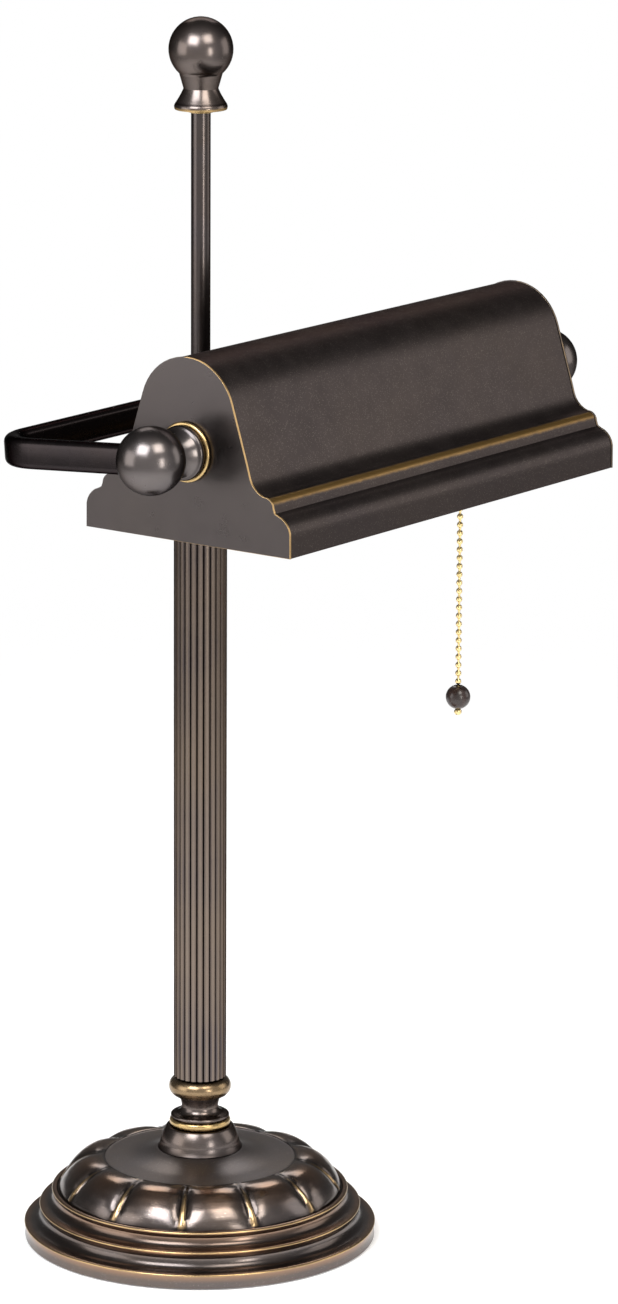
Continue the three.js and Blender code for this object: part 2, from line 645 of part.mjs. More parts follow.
function halfOutline() {
  const edge = plateEdge;
  const path = new THREE.Path().moveTo(...edge.lipFoot).lineTo(...edge.lipTop);
  path.quadraticCurveTo(...edge.rollCorner, ...edge.rollEnd);
  path.lineTo(...edge.stepTop).lineTo(...edge.stepBack);
  path.quadraticCurveTo(...edge.coveCorner, ...edge.coveEnd);
  path.quadraticCurveTo(...edge.flankCorner, ...edge.flankTop);
  path.absarc(0, edge.crown.height, edge.crown.radius, edge.crown.start, Math.PI / 2);
  return path.getPoints(4);
}

// The line of points moved sideways, towards the inside of the shade.
function movedIn(points, distance) {
  return points.map((point, i) => {
    const before = points[Math.max(i - 1, 0)];
    const after = points[Math.min(i + 1, points.length - 1)];
    const along = after.clone().sub(before).normalize();
    const shift = new THREE.Vector2(-along.y, along.x).multiplyScalar(distance);
    return point.clone().add(shift);
  });
}

function bothHalves(points) {
  const mirrored = points.slice(0, -1).reverse().map((point) => new THREE.Vector2(-point.x, point.y));
  return [...points, ...mirrored];
}

function shadeSkin() {
  const outer = movedIn(halfOutline(), shade.plateProud);
  const inner = movedIn(halfOutline(), shade.plateProud + shade.sheet);
  for (const line of [outer, inner]) {
    line[line.length - 1].x = 0;
    line[0].y = plateEdge.lipFoot[1] + 0.1;
  }
  const shape = new THREE.Shape([...bothHalves(outer), ...bothHalves(inner).reverse()]);
  const half = shadeInner - fit.seat;
  return alongX(extruded(shape, 2 * half).translate(0, 0, -half));
}

function endPlate(side) {
  const body = extruded(new THREE.Shape(bothHalves(halfOutline())), shade.plate);
  const plate = alongX(body.translate(0, 0, shadeInner));
  const hole = alongX(tube(boreRadius, 0, 0, 2 * shadeInner));
  return facing(side, cut(plate, hole));
}

addPiece('shade_skin', shadeSkin(), 'satinBronze', shadeGroup);
const washerSeats = { left: shadeInner - fit.seat, right: shadeInner - 2 * fit.seat - bracket.thickness };
for (const [name, side] of [['left', -1], ['right', 1]]) {
  addPiece(`end_plate_${name}`, endPlate(side), 'satinBronze', shadeGroup);
  const outer = washerSeats[name];
  const washer = alongX(tube(pivotWasher.radius, boreRadius, outer - pivotWasher.thickness, outer));
  addPiece(`pivot_washer_${name}`, facing(side, washer), 'steel', shadeGroup);
  const nutStart = outer - pivotWasher.thickness - fit.seat - nut.thickness;
  addPiece(`pivot_nut_${name}`, facing(side, alongX(hexNut(nutStart))), 'steel', shadeGroup);
}

// ---------------------------------------------------------------- socket

const bracketOuter = shadeInner - fit.seat;
const bracketInner = bracketOuter - bracket.depth;

// A strap that stands clear of the pivot nut and carries the socket in line with the pivot.
function socketBracket() {
  const thick = bracket.thickness;
  const top = bracket.height;
  const outline = new THREE.Shape().moveTo(bracketOuter, -bracket.foot).lineTo(bracketOuter, top);
  outline.lineTo(bracketInner, top).lineTo(bracketInner, -bracket.foot).lineTo(bracketInner + thick, -bracket.foot);
  outline.lineTo(bracketInner + thick, top - thick).lineTo(bracketOuter - thick, top - thick);
  outline.lineTo(bracketOuter - thick, -bracket.foot).closePath();
  const strap = extruded(outline, 2 * bracket.halfWidth).rotateX(Math.PI / 2).translate(0, bracket.halfWidth, 0);
  return cut(strap, alongX(tube(boreRadius, 0, bracketInner - 1, bracketOuter + 1)));
}

const capBack = bracketInner - fit.seat;
const capFront = capBack - socket.capLength;
const shellBack = capFront + 4.6;
const shellFront = capBack - socket.length;
const chainX = capBack - socket.chainFromBack;
const linerRadius = socket.shellRadius - socket.wall - fit.seat;
const screwOuter = linerRadius - socket.linerThickness - fit.seat;

const capRadius = socket.shellRadius + fit.seat + socket.capWall;

function socketCap() {
  const outer = capRadius;
  const wall = socket.capWall;
  const skirt = capBack - 7;
  const profile = new THREE.Path().moveTo(outer, capFront);
  profile.lineTo(outer, skirt).quadraticCurveTo(outer, capBack, outer - 7, capBack).lineTo(boreRadius, capBack);
  profile.lineTo(boreRadius, capBack - wall).lineTo(outer - 7, capBack - wall);
  profile.quadraticCurveTo(outer - wall, capBack - wall, outer - wall, skirt).lineTo(outer - wall, capFront);
  return alongX(turned(profile, 24, 2));
}

// The hole in the socket's side that the chain's bell stands in.
function chainHole(radius) {
  return tube(radius, 0, -2 * capRadius, -4, 16).translate(chainX, 0, 0);
}

function socketShell() {
  const outer = socket.shellRadius;
  const inner = outer - socket.wall;
  const profile = new THREE.Path().moveTo(inner, shellFront).lineTo(outer + 0.7, shellFront);
  profile.lineTo(outer + 0.7, shellFront + 1.4).lineTo(outer, shellFront + 2.2).lineTo(outer, shellBack);
  profile.lineTo(inner, shellBack);
  return cut(alongX(turned(profile)), chainHole(bell.radius - 1 + fit.running));
}

function socketLiner() {
  const body = alongX(tube(linerRadius, linerRadius - socket.linerThickness, shellFront + 1.2, shellBack));
  return cut(body, chainHole(bell.radius - 1 + fit.running));
}

const switchFront = shellFront + socket.screwDepth + 2;
const switchBack = shellBack - 1;

function switchBody() {
  const body = alongX(tube(screwOuter, lead.radius + fit.running, switchFront, switchBack));
  return cut(body, tube(bell.throat + 1.5, 0, -2 * screwOuter, 2, 16).translate(chainX, 0, 0));
}

function screwShell() {
  const wall = screwOuter - socket.screwBore;
  const back = switchFront - fit.seat;
  const profile = new THREE.Path().moveTo(socket.screwBore, shellFront + 1.2).lineTo(screwOuter, shellFront + 1.2);
  profile.lineTo(screwOuter, back).lineTo(6, back).lineTo(6, back - wall).lineTo(socket.screwBore, back - wall);
  return alongX(turned(profile, 24));
}

const bulbTip = switchFront - fit.seat - 1.8;

const bellTop = -screwOuter;
const bellBottom = bellTop - bell.length;

function chainBell() {
  const stem = bell.radius - 1;
  const profile = new THREE.Path().moveTo(bell.radius - 0.6, bellBottom).lineTo(bell.radius, bellBottom);
  profile.quadraticCurveTo(stem, bellBottom + 1.2, stem, bellBottom + 3.4).lineTo(stem, bellTop);
  profile.lineTo(bell.throat, bellTop).lineTo(bell.throat, bellBottom + 3);
  return turned(profile, 20);
}

addPiece('socket_bracket', socketBracket(), 'steel', shadeGroup);
const nipple = tube(pipe.radius, pipe.bore, capBack - 4.4, bracketInner + bracket.thickness + 5.4);
addPiece('socket_nipple', alongX(nipple), 'steel', shadeGroup);
const locknut = hexNut(bracketInner + bracket.thickness + fit.seat, nut.acrossFlats - 1, 3);
addPiece('socket_locknut', alongX(locknut), 'steel', shadeGroup);
addPiece('socket_cap', socketCap(), 'brass', shadeGroup);
addPiece('socket_shell', socketShell(), 'brass', shadeGroup);
addPiece('socket_liner', socketLiner(), 'fibre', shadeGroup);
addPiece('switch_body', switchBody(), 'phenolic', shadeGroup);
addPiece('screw_shell', screwShell(), 'brass', shadeGroup);
addPiece('centre_contact', alongX(tube(3.2, 0, switchFront - 1.4, switchFront - 0.3, 12)), 'brass', shadeGroup);
addPiece('chain_bell', chainBell(), 'brass', shadeGroup).position.x = chainX;
const shadeLead = tube(lead.radius, 0, switchBack + fit.seat, leadEnd - fit.seat, 8);
addPiece('lead_shade', alongX(shadeLead), 'plastic', shadeGroup);

// ---------------------------------------------------------------- bulb

const bulbEnd = bulbTip - bulb.length;
const baseFront = bulbTip - bulb.baseLength;

function bulbBase() {
  const wall = 0.5;
  const profile = new THREE.Path().moveTo(bulb.baseRadius - wall, baseFront).lineTo(bulb.baseRadius, baseFront);
  profile.lineTo(bulb.baseRadius, bulbTip - 5).lineTo(8.5, bulbTip - 2.4).lineTo(4.5, bulbTip - 2.2);
  profile.lineTo(4, bulbTip).lineTo(0, bulbTip).lineTo(0, bulbTip - 6).lineTo(bulb.baseRadius - wall, bulbTip - 6);
  return alongX(turned(profile, 24));
}

function bulbGlass() {
  const outer = bulb.glassRadius;
  const neckOuter = bulb.baseRadius - 0.5 - fit.seat;
  const wall = bulb.wall;
  const neckEnd = baseFront + 5;
  const swell = baseFront - 8;
  const dome = bulbEnd + outer;
  const profile = new THREE.Path().moveTo(0, bulbEnd).absarc(0, dome, outer, -Math.PI / 2, 0);
  profile.lineTo(outer, swell).lineTo(neckOuter, baseFront - 1).lineTo(neckOuter, neckEnd);
  profile.lineTo(neckOuter - wall, neckEnd).lineTo(neckOuter - wall, baseFront - 1).lineTo(outer - wall, swell);
  profile.absarc(0, dome, outer - wall, 0, -Math.PI / 2, true);
  return alongX(turned(profile, 24, 2));
}

// The glass foot and stem that carry the filament wire, held inside the neck.
function bulbStem() {
  const flare = bulb.baseRadius - 2.2;
  const foot = baseFront + 4.6;
  const tip = bulbEnd + 34;
  const profile = new THREE.Path().moveTo(0, tip).lineTo(2.2, tip + 0.6).lineTo(2.2, tip + 2.6);
  profile.lineTo(1.1, tip + 3.4).lineTo(1.1, foot - 34).lineTo(3.2, foot - 30).lineTo(3.4, foot - 8);
  profile.lineTo(flare, foot - 1.2).lineTo(flare, foot).lineTo(0, foot);
  return alongX(turned(profile, 16));
}

addPiece('bulb_base', bulbBase(), 'steel', shadeGroup);
addPiece('bulb_glass', bulbGlass(), 'glass', shadeGroup);
addPiece('bulb_stem', bulbStem(), 'glass', shadeGroup);

// ---------------------------------------------------------------- pull chain

const pull = new THREE.Group();
pull.position.x = chainX;
shadeGroup.add(pull);

const hookEnd = bellBottom - hook.drop;
const couplerTop = hookEnd - hook.eye - fit.seat;
const couplerBottom = couplerTop - coupler.length;
const chainTop = couplerBottom - coupler.gap;
const chainEnd = chainTop - chain.pitch * chain.beads;
const ballCentre = chainEnd + pullBall.chainBelowCentre;

// A thin rod with a round eye at its lower end, worked by the switch.
function chainHook() {
  const join = Math.asin(hook.radius / hook.eye);
  const profile = new THREE.Path().moveTo(0, hookEnd - hook.eye);
  profile.absarc(0, hookEnd, hook.eye, -Math.PI / 2, Math.PI / 2 - join);
  profile.lineTo(hook.radius, 0).lineTo(0, 0);
  return turned(profile, 10, 3);
}

function chainCoupler() {
  const profile = new THREE.Path().moveTo(0, couplerBottom).lineTo(1.1, couplerBottom);
  profile.lineTo(coupler.radius, couplerBottom + 1).lineTo(coupler.radius, couplerTop - 1);
  profile.lineTo(0.9, couplerTop).lineTo(0, couplerTop);
  return turned(profile, 12);
}

function beadChain() {
  const profile = new THREE.Path().moveTo(0, chainEnd);
  for (let i = chain.beads - 1; i >= 0; i--) {
    const centre = chainTop - (i + 0.5) * chain.pitch;
    const join = Math.acos(chain.link / chain.beadRadius);
    profile.absarc(0, centre, chain.beadRadius, -join, join);
  }
  profile.lineTo(0, chainTop);
  return turned(profile, 6, 1);
}

function drilledBall() {
  const hole = chain.beadRadius + fit.running;
  const reach = Math.acos(hole / pullBall.radius);
  const profile = new THREE.Path().absarc(0, ballCentre, pullBall.radius, -reach, reach);
  return turned(profile, 16, 4);
}

function chainTip() {
  const top = ballCentre - pullBall.radius - fit.seat;
  const bottom = top - pullTip.length;
  const profile = new THREE.Path().moveTo(0, bottom).lineTo(pullTip.radius - 0.9, bottom);
  profile.quadraticCurveTo(pullTip.radius + 0.2, (top + bottom) / 2, pullTip.radius - 0.7, top).lineTo(0, top);
  return turned(profile, 12);
}

addPiece('chain_hook', chainHook(), 'brass', pull);
addPiece('chain_coupler', chainCoupler(), 'brass', pull);
addPiece('pull_chain', beadChain(), 'brass', pull);
addPiece('pull_ball', drilledBall(), 'wood', pull);
addPiece('pull_tip', chainTip(), 'brass', pull);

// ---------------------------------------------------------------- lead in the stand

const leadHeight = pad.thickness + fit.seat + 2 * lead.radius;
const leadStart = lowerStep.radius - 4;
const standCorners = [
  [0, leadStart, inlet.height],
  [0, leadStart - inlet.drop / 2, inlet.height],
  [0, leadStart - inlet.drop, leadHeight],
  [0, 0, leadHeight],
  [0, 0, hubCentre],
];
addPiece('lead_stand', barThrough(standCorners, [4, 4, lead.bend], lead.radius), 'plastic');

export default lamp;
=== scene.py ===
import math

import bmesh
import bpy
from mathutils import Matrix, Vector


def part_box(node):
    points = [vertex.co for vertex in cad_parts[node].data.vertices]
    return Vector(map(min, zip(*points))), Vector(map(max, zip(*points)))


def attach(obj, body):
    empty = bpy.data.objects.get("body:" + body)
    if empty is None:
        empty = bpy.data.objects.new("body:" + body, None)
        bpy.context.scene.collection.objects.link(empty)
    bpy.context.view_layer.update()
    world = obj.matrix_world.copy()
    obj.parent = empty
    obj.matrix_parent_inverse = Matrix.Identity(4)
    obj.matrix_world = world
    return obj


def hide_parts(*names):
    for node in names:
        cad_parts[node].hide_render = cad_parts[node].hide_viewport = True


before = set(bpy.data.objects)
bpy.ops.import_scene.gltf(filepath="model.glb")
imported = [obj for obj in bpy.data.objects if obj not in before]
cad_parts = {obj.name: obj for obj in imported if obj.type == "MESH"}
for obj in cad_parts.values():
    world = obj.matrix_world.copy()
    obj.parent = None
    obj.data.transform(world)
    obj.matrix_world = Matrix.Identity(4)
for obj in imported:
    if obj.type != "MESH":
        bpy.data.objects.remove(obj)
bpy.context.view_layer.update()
mm = 0.001
scene = bpy.context.scene


# ---- camera, lights and floor

view = {
    "place": (-2.231, -1.709, 0.968),
    "turn": -53.644,  # degrees from +Y
    "tilt": 13.328,
    "roll": 0.308,
    "lens": 160.95,
}


def aimCamera(v):
    turn, tilt, roll = (math.radians(v[key]) for key in ("turn", "tilt", "roll"))
    ahead = Vector((-math.sin(turn) * math.cos(tilt), math.cos(turn) * math.cos(tilt), -math.sin(tilt)))
    level = ahead.cross(Vector((0, 0, 1))).normalized()
    upright = level.cross(ahead)
    right = level * math.cos(roll) + upright * math.sin(roll)
    up = upright * math.cos(roll) - level * math.sin(roll)
    data = bpy.data.cameras.new("camera")
    data.lens = v["lens"]
    data.clip_start, data.clip_end = 0.05, 50
    camera = bpy.data.objects.new("camera", data)
    camera.matrix_world = Matrix((right, up, -ahead)).transposed().to_4x4()
    camera.location = v["place"]
    scene.collection.objects.link(camera)
    scene.camera = camera


# turn is to the right of the camera as seen from the lamp, lift is above the horizon
softboxes = {
    "boxLeft": {"turn": -33, "lift": 44, "far": 1.7, "size": (0.9, 0.8), "power": 26,
                "colour": (0.95, 0.97, 1.0)},
    "boxRight": {"turn": 30, "lift": 50, "far": 1.7, "size": (0.75, 0.7), "power": 13,
                 "colour": (1.0, 0.95, 0.88)},
    "stripRight": {"turn": 33, "lift": 7, "far": 1.7, "size": (0.3, 0.7), "power": 6,
                   "colour": (1.0, 0.96, 0.9)},
    "sideRight": {"turn": 100, "lift": 14, "far": 1.9, "size": (1.0, 1.2), "power": 6,
                  "colour": (1.0, 0.96, 0.92)},
    "sideLeft": {"turn": -72, "lift": 12, "far": 1.9, "size": (1.2, 1.2), "power": 9.5,
                 "colour": (1.0, 0.97, 0.95)},
    "behind": {"turn": 180, "lift": 40, "far": 2.0, "size": (1.2, 0.8), "power": 9,
               "colour": (1.0, 1.0, 1.0)},
}


def placeSoftbox(name, v):
    toCamera = Vector(view["place"])
    heading = math.atan2(toCamera.y, toCamera.x) + math.radians(v["turn"])
    lift = math.radians(v["lift"])
    away = Vector((math.cos(heading) * math.cos(lift), math.sin(heading) * math.cos(lift), math.sin(lift)))
    data = bpy.data.lights.new(name, "AREA")
    data.shape = "RECTANGLE"
    data.size, data.size_y = v["size"]
    data.energy = v["power"]
    data.color = v["colour"]
    box = bpy.data.objects.new(name, data)
    box.rotation_mode = "QUATERNION"
    box.rotation_quaternion = (-away).to_track_quat("-Z", "Y")
    box.location = Vector((0, -0.03, 0.3)) + away * v["far"]
    box.visible_camera = False
    scene.collection.objects.link(box)


# a value is a number, a colour or another node's output
def fillInputs(tree, node, inputs):
    for name, value in inputs.items():
        socket = node.inputs[name]
        if isinstance(value, bpy.types.NodeSocket):
            tree.links.new(value, socket)
        elif socket.type == "RGBA" and len(value) == 3:
            socket.default_value = (*value, 1)
        else:
            socket.default_value = value
    return node


def addNode(tree, kind, inputs=None, **settings):
    node = tree.nodes.new(kind)
    for name, value in settings.items():
        setattr(node, name, value)
    return fillInputs(tree, node, inputs or {})


def maths(tree, operation, *values, **settings):
    inputs = dict(enumerate(values))
    return addNode(tree, "ShaderNodeMath", inputs, operation=operation, **settings).outputs[0]


# maps a number from one span to another
def remap(tree, value, start, end, low=0.0, high=1.0, easing="SMOOTHSTEP"):
    inputs = {"Value": value, 1: start, 2: end, 3: low, 4: high}
    return addNode(tree, "ShaderNodeMapRange", inputs, interpolation_type=easing).outputs[0]


room = {"seen": 1.0, "behind": 0.15, "front": 0.85, "above": 0.8, "below": 0.5, "tint": (1.0, 0.975, 0.965)}


# the room is light on the camera's side, darker behind and overhead, and white where the camera sees it
def paintRoom(v):
    world = bpy.data.worlds.new("room")
    scene.world = world
    world.use_nodes = True
    tree = world.node_tree
    tree.nodes.clear()
    direction = addNode(tree, "ShaderNodeTexCoord").outputs["Generated"]
    front = Vector((*view["place"][:2], 0)).normalized()
    ahead = addNode(tree, "ShaderNodeVectorMath", {0: direction, 1: front}, operation="DOT_PRODUCT")
    ahead = ahead.outputs["Value"]
    level = remap(tree, ahead, -0.5, 0.95, v["behind"], v["front"])
    height = addNode(tree, "ShaderNodeSeparateXYZ", {0: direction}).outputs["Z"]
    shade = remap(tree, height, 0.0, 0.8, 1.0, v["above"])
    under = remap(tree, height, 0.0, -0.25, 0.0, v["below"])
    strength = maths(tree, "MULTIPLY", maths(tree, "MAXIMUM", level, under), shade)
    lit = addNode(tree, "ShaderNodeBackground", {"Color": v["tint"], "Strength": strength})
    seen = addNode(tree, "ShaderNodeBackground", {"Color": (1, 1, 1), "Strength": v["seen"]})
    rays = addNode(tree, "ShaderNodeLightPath")
    parts = {0: rays.outputs["Is Camera Ray"], 1: lit.outputs[0], 2: seen.outputs[0]}
    both = addNode(tree, "ShaderNodeMixShader", parts)
    addNode(tree, "ShaderNodeOutputWorld", {"Surface": both.outputs[0]})


floorLook = {"radius": 1.6, "colour": (0.92, 0.92, 0.92), "fadeFrom": 0.35, "glow": 0.2}


def layFloor(v):
    bm = bmesh.new()
    bmesh.ops.create_circle(bm, cap_ends=True, segments=96, radius=v["radius"])
    mesh = bpy.data.meshes.new("floor")
    bm.to_mesh(mesh)
    bm.free()
    floor = bpy.data.objects.new("floor", mesh)
    floor.location.z = -0.0003
    scene.collection.objects.link(floor)
    material = bpy.data.materials.new("floor")
    material.use_nodes = True
    tree = material.node_tree
    tree.nodes.clear()
    surface = addNode(tree, "ShaderNodeBsdfDiffuse", {"Color": v["colour"]})
    clear = addNode(tree, "ShaderNodeBsdfTransparent")
    place = addNode(tree, "ShaderNodeTexCoord").outputs["Object"]
    reach = addNode(tree, "ShaderNodeVectorMath", {0: place}, operation="LENGTH").outputs["Value"]
    edge = remap(tree, reach, v["fadeFrom"], v["radius"], easing="SMOOTHERSTEP")
    under = addNode(tree, "ShaderNodeNewGeometry").outputs["Backfacing"]
    gone = maths(tree, "MAXIMUM", edge, under)
    glow = addNode(tree, "ShaderNodeEmission", {"Color": (1, 1, 1), "Strength": v["glow"]})
    lit = addNode(tree, "ShaderNodeAddShader", {0: surface.outputs[0], 1: glow.outputs[0]})
    both = addNode(tree, "ShaderNodeMixShader", {0: gone, 1: lit.outputs[0], 2: clear.outputs[0]})
    addNode(tree, "ShaderNodeOutputMaterial", {"Surface": both.outputs[0]})
    mesh.materials.append(material)


aimCamera(view)
for name, values in softboxes.items():
    placeSoftbox(name, values)
paintRoom(room)
layFloor(floorLook)
scene.view_settings.view_transform = "Standard"
print("camera, lights and floor are set")


# ---- shared shader groups

def openGroup(name, inputs, outputs):
    tree = bpy.data.node_groups.new(name, "ShaderNodeTree")
    for label, kind, value in inputs:
        socket = tree.interface.new_socket(label, in_out="INPUT", socket_type=kind)
        if value is not None:
            socket.default_value = value
    for label, kind in outputs:
        tree.interface.new_socket(label, in_out="OUTPUT", socket_type=kind)
    return tree, tree.nodes.new("NodeGroupInput").outputs, tree.nodes.new("NodeGroupOutput").inputs


number, vector = "NodeSocketFloat", "NodeSocketVector"


# slow drifts of tone, as on metal that was darkened by hand
def makePatina():
    tree, given, made = openGroup("patina",
                                  [("Place", vector, None), ("Size", number, 40), ("Contrast", number, 1)],
                                  [("Cloud", number), ("Smear", number)])
    wide = addNode(tree, "ShaderNodeTexNoise",
                   {"Vector": given["Place"], "Scale": given["Size"], "Detail": 4.0, "Roughness": 0.55,
                    "Distortion": 0.3})
    finer = maths(tree, "MULTIPLY", given["Size"], 7.0)
    small = addNode(tree, "ShaderNodeTexNoise", {"Vector": given["Place"], "Scale": finer, "Detail": 3.0})
    for source, label in ((wide, "Cloud"), (small, "Smear")):
        centred = maths(tree, "SUBTRACT", source.outputs["Fac"], 0.5)
        spread = maths(tree, "MULTIPLY_ADD", centred, given["Contrast"], 0.5, use_clamp=True)
        tree.links.new(spread, made[label])
    return tree


# bright flecks of metal powder in the lacquer
def makeFlecks():
    tree, given, made = openGroup("flecks",
                                  [("Place", vector, None), ("Count", number, 900), ("Share", number, 0.2)],
                                  [("Mask", number)])
    cells = addNode(tree, "ShaderNodeTexVoronoi", {"Vector": given["Place"], "Scale": given["Count"]})
    dot = remap(tree, cells.outputs["Distance"], 0.18, 0.42, 1.0, 0.0, "LINEAR")
    luck = addNode(tree, "ShaderNodeSeparateColor", {0: cells.outputs["Color"]}).outputs[0]
    chosen = maths(tree, "LESS_THAN", luck, given["Share"])
    tree.links.new(maths(tree, "MULTIPLY", dot, chosen), made["Mask"])
    return tree


# where the finish is rubbed through, with a ragged border
def makeRubbing():
    tree, given, made = openGroup("rubbing",
                                  [("Place", vector, None), ("Rubbed", number, 0), ("Ragged", number, 0.5),
                                   ("Grain", number, 260)], [("Mask", number)])
    noise = addNode(tree, "ShaderNodeTexNoise",
                    {"Vector": given["Place"], "Scale": given["Grain"], "Detail": 4.0})
    centred = maths(tree, "SUBTRACT", noise.outputs["Fac"], 0.5)
    bite = maths(tree, "MULTIPLY_ADD", centred, given["Ragged"], given["Rubbed"])
    anyRubbed = maths(tree, "GREATER_THAN", given["Rubbed"], 0.01)
    tree.links.new(maths(tree, "MULTIPLY", remap(tree, bite, 0.12, 0.85), anyRubbed), made["Mask"])
    return tree


# fine lines left by the lathe or the polishing belt, along whichever axis is stretched least
def makeToolLines():
    tree, given, made = openGroup("toolLines", [("Place", vector, None), ("Stretch", vector, None)],
                                  [("Height", number)])
    stretched = addNode(tree, "ShaderNodeVectorMath", {0: given["Place"], 1: given["Stretch"]},
                        operation="MULTIPLY")
    noise = addNode(tree, "ShaderNodeTexNoise", {"Vector": stretched.outputs[0], "Scale": 1.0, "Detail": 3.0,
                                                 "Roughness": 0.6})
    tree.links.new(noise.outputs["Fac"], made["Height"])
    return tree


patina, flecks, rubbing, toolLines = makePatina(), makeFlecks(), makeRubbing(), makeToolLines()


def useGroup(tree, group, inputs):
    return addNode(tree, "ShaderNodeGroup", inputs, node_tree=group)


def blendColours(tree, share, first, second):
    inputs = {0: share, 6: first, 7: second}
    return addNode(tree, "ShaderNodeMix", inputs, data_type="RGBA").outputs[2]


def blendNumbers(tree, share, first, second):
    return addNode(tree, "ShaderNodeMix", {0: share, 2: first, 3: second}).outputs[0]


# raises the surface by a pattern, on top of what an earlier bump raised
def addBump(tree, height, distance, earlier=None):
    inputs = {"Height": height, "Strength": 1.0, "Distance": distance}
    if earlier:
        inputs["Normal"] = earlier
    return addNode(tree, "ShaderNodeBump", inputs).outputs[0]


def startMaterial(name):
    material = bpy.data.materials.new(name)
    material.use_nodes = True
    tree = material.node_tree
    shader = tree.nodes["Principled BSDF"]
    return material, tree, shader, addNode(tree, "ShaderNodeTexCoord").outputs["Object"]


def attribute(tree, name):
    return addNode(tree, "ShaderNodeAttribute", attribute_name=name).outputs["Fac"]


# ---- metals

bronzeBasics = {
    "dark": (0.112, 0.100, 0.101), "brown": (0.150, 0.118, 0.098), "cloudSize": 28, "contrast": 1.7,
    "copper": (0.26, 0.165, 0.11), "gold": (0.52, 0.36, 0.17), "hollow": (0.020, 0.016, 0.015),
    "rough": 0.21, "uneven": 0.08, "goldRough": 0.26, "satinRough": 0.38,
    "fleckCount": 900, "fleckShare": 0.0, "fleckColour": (0.42, 0.38, 0.33),
    "lines": (30, 30, 2600), "lineDepth": 0.00002, "grain": 900, "grainDepth": 0.0, "ragged": 0.5,
    "edgeTint": 0.3,
}


# darkened bronze: rubbed shows brass, copper a thinner finish, satin is duller, and painted shade darkens
# grooves, coves and creases to near black
def bronze(name, **changes):
    v = {**bronzeBasics, **changes}
    material, tree, shader, place = startMaterial(name)
    tone = useGroup(tree, patina, {"Place": place, "Size": v["cloudSize"], "Contrast": v["contrast"]})
    colour = blendColours(tree, tone.outputs["Cloud"], v["dark"], v["brown"])
    if v["fleckShare"]:
        dots = useGroup(tree, flecks, {"Place": place, "Count": v["fleckCount"], "Share": v["fleckShare"]})
        colour = blendColours(tree, dots.outputs["Mask"], colour, v["fleckColour"])
    colour = blendColours(tree, attribute(tree, "copper"), colour, v["copper"])
    colour = blendColours(tree, attribute(tree, "hollow"), colour, v["hollow"])
    rubbed = useGroup(tree, rubbing, {"Place": place, "Rubbed": attribute(tree, "rubbed"),
                                      "Ragged": v["ragged"]})
    colour = blendColours(tree, rubbed.outputs["Mask"], colour, v["gold"])
    rough = blendNumbers(tree, tone.outputs["Smear"], v["rough"], v["rough"] + v["uneven"])
    rough = blendNumbers(tree, attribute(tree, "satin"), rough, v["satinRough"])
    rough = blendNumbers(tree, rubbed.outputs["Mask"], rough, v["goldRough"])
    lines = useGroup(tree, toolLines, {"Place": place, "Stretch": v["lines"]})
    bump = addBump(tree, lines.outputs["Height"], v["lineDepth"])
    if v["grainDepth"]:
        grain = addNode(tree, "ShaderNodeTexNoise", {"Vector": place, "Scale": v["grain"], "Detail": 3.0})
        bump = addBump(tree, grain.outputs["Fac"], v["grainDepth"], bump)
    fillInputs(tree, shader, {"Base Color": colour, "Roughness": rough, "Normal": bump, "Metallic": 1.0,
                              "Specular Tint": (v["edgeTint"],) * 3})
    return material


turnedBronze = bronze("turnedBronze")
knobBronze = bronze("knobBronze", lines=(2600, 30, 30), dark=(0.125, 0.115, 0.117),
                    brown=(0.14, 0.122, 0.115))
baseBronze = bronze("baseBronze", fleckCount=2000, fleckShare=0.1, fleckColour=(0.3, 0.27, 0.24), rough=0.18,
                    gold=(0.46, 0.32, 0.165), copper=(0.31, 0.195, 0.13), edgeTint=0.9,
                    dark=(0.118, 0.107, 0.109), brown=(0.152, 0.122, 0.104))
reedBronze = bronze("reedBronze", dark=(0.098, 0.083, 0.087), brown=(0.185, 0.143, 0.108),
                    lines=(900, 900, 8), lineDepth=0.000003, cloudSize=14, contrast=2.6, rough=0.2,
                    uneven=0.04, gold=(0.205, 0.165, 0.135), ragged=0.08, edgeTint=0.0)
rodBronze = bronze("rodBronze", lines=(300, 300, 20), lineDepth=0.000003, rough=0.2,
                   dark=(0.082, 0.074, 0.077), brown=(0.085, 0.070, 0.062))
# the yoke's bar takes a darker copy of the bronze: painted shade against the side light on its face
shadedBarBronze = bronze("shadedBarBronze", lines=(60, 60, 1400), lineDepth=0.000006, rough=0.22,
                   dark=(0.030, 0.026, 0.028), brown=(0.038, 0.031, 0.030))
shadeBasics = {"dark": (0.064, 0.055, 0.056), "brown": (0.078, 0.065, 0.060), "rough": 0.36, "uneven": 0.1,
               "fleckCount": 1900, "fleckShare": 0.24, "fleckColour": (0.17, 0.15, 0.134),
               "lineDepth": 0.00001, "grain": 1500, "grainDepth": 0.00002, "cloudSize": 14,
               "gold": (0.40, 0.25, 0.095), "goldRough": 0.34, "ragged": 0.35}
shadeBronze = bronze("shadeBronze", **shadeBasics, lines=(40, 900, 900))
plateBasics = {**shadeBasics, "dark": (0.085, 0.076, 0.077), "brown": (0.098, 0.086, 0.082), "rough": 0.25,
               "fleckShare": 0.12, "gold": (0.62, 0.42, 0.20)}
plateBronze = bronze("plateBronze", **plateBasics, lines=(60, 60, 60))

brassBasics = {"colour": (0.56, 0.40, 0.18), "tarnish": (0.27, 0.18, 0.09), "tarnished": 0.45,
               "cloudSize": 60, "rough": 0.2, "uneven": 0.12, "lines": (40, 40, 2600), "lineDepth": 0.00002,
               "hollow": (0.04, 0.03, 0.024)}


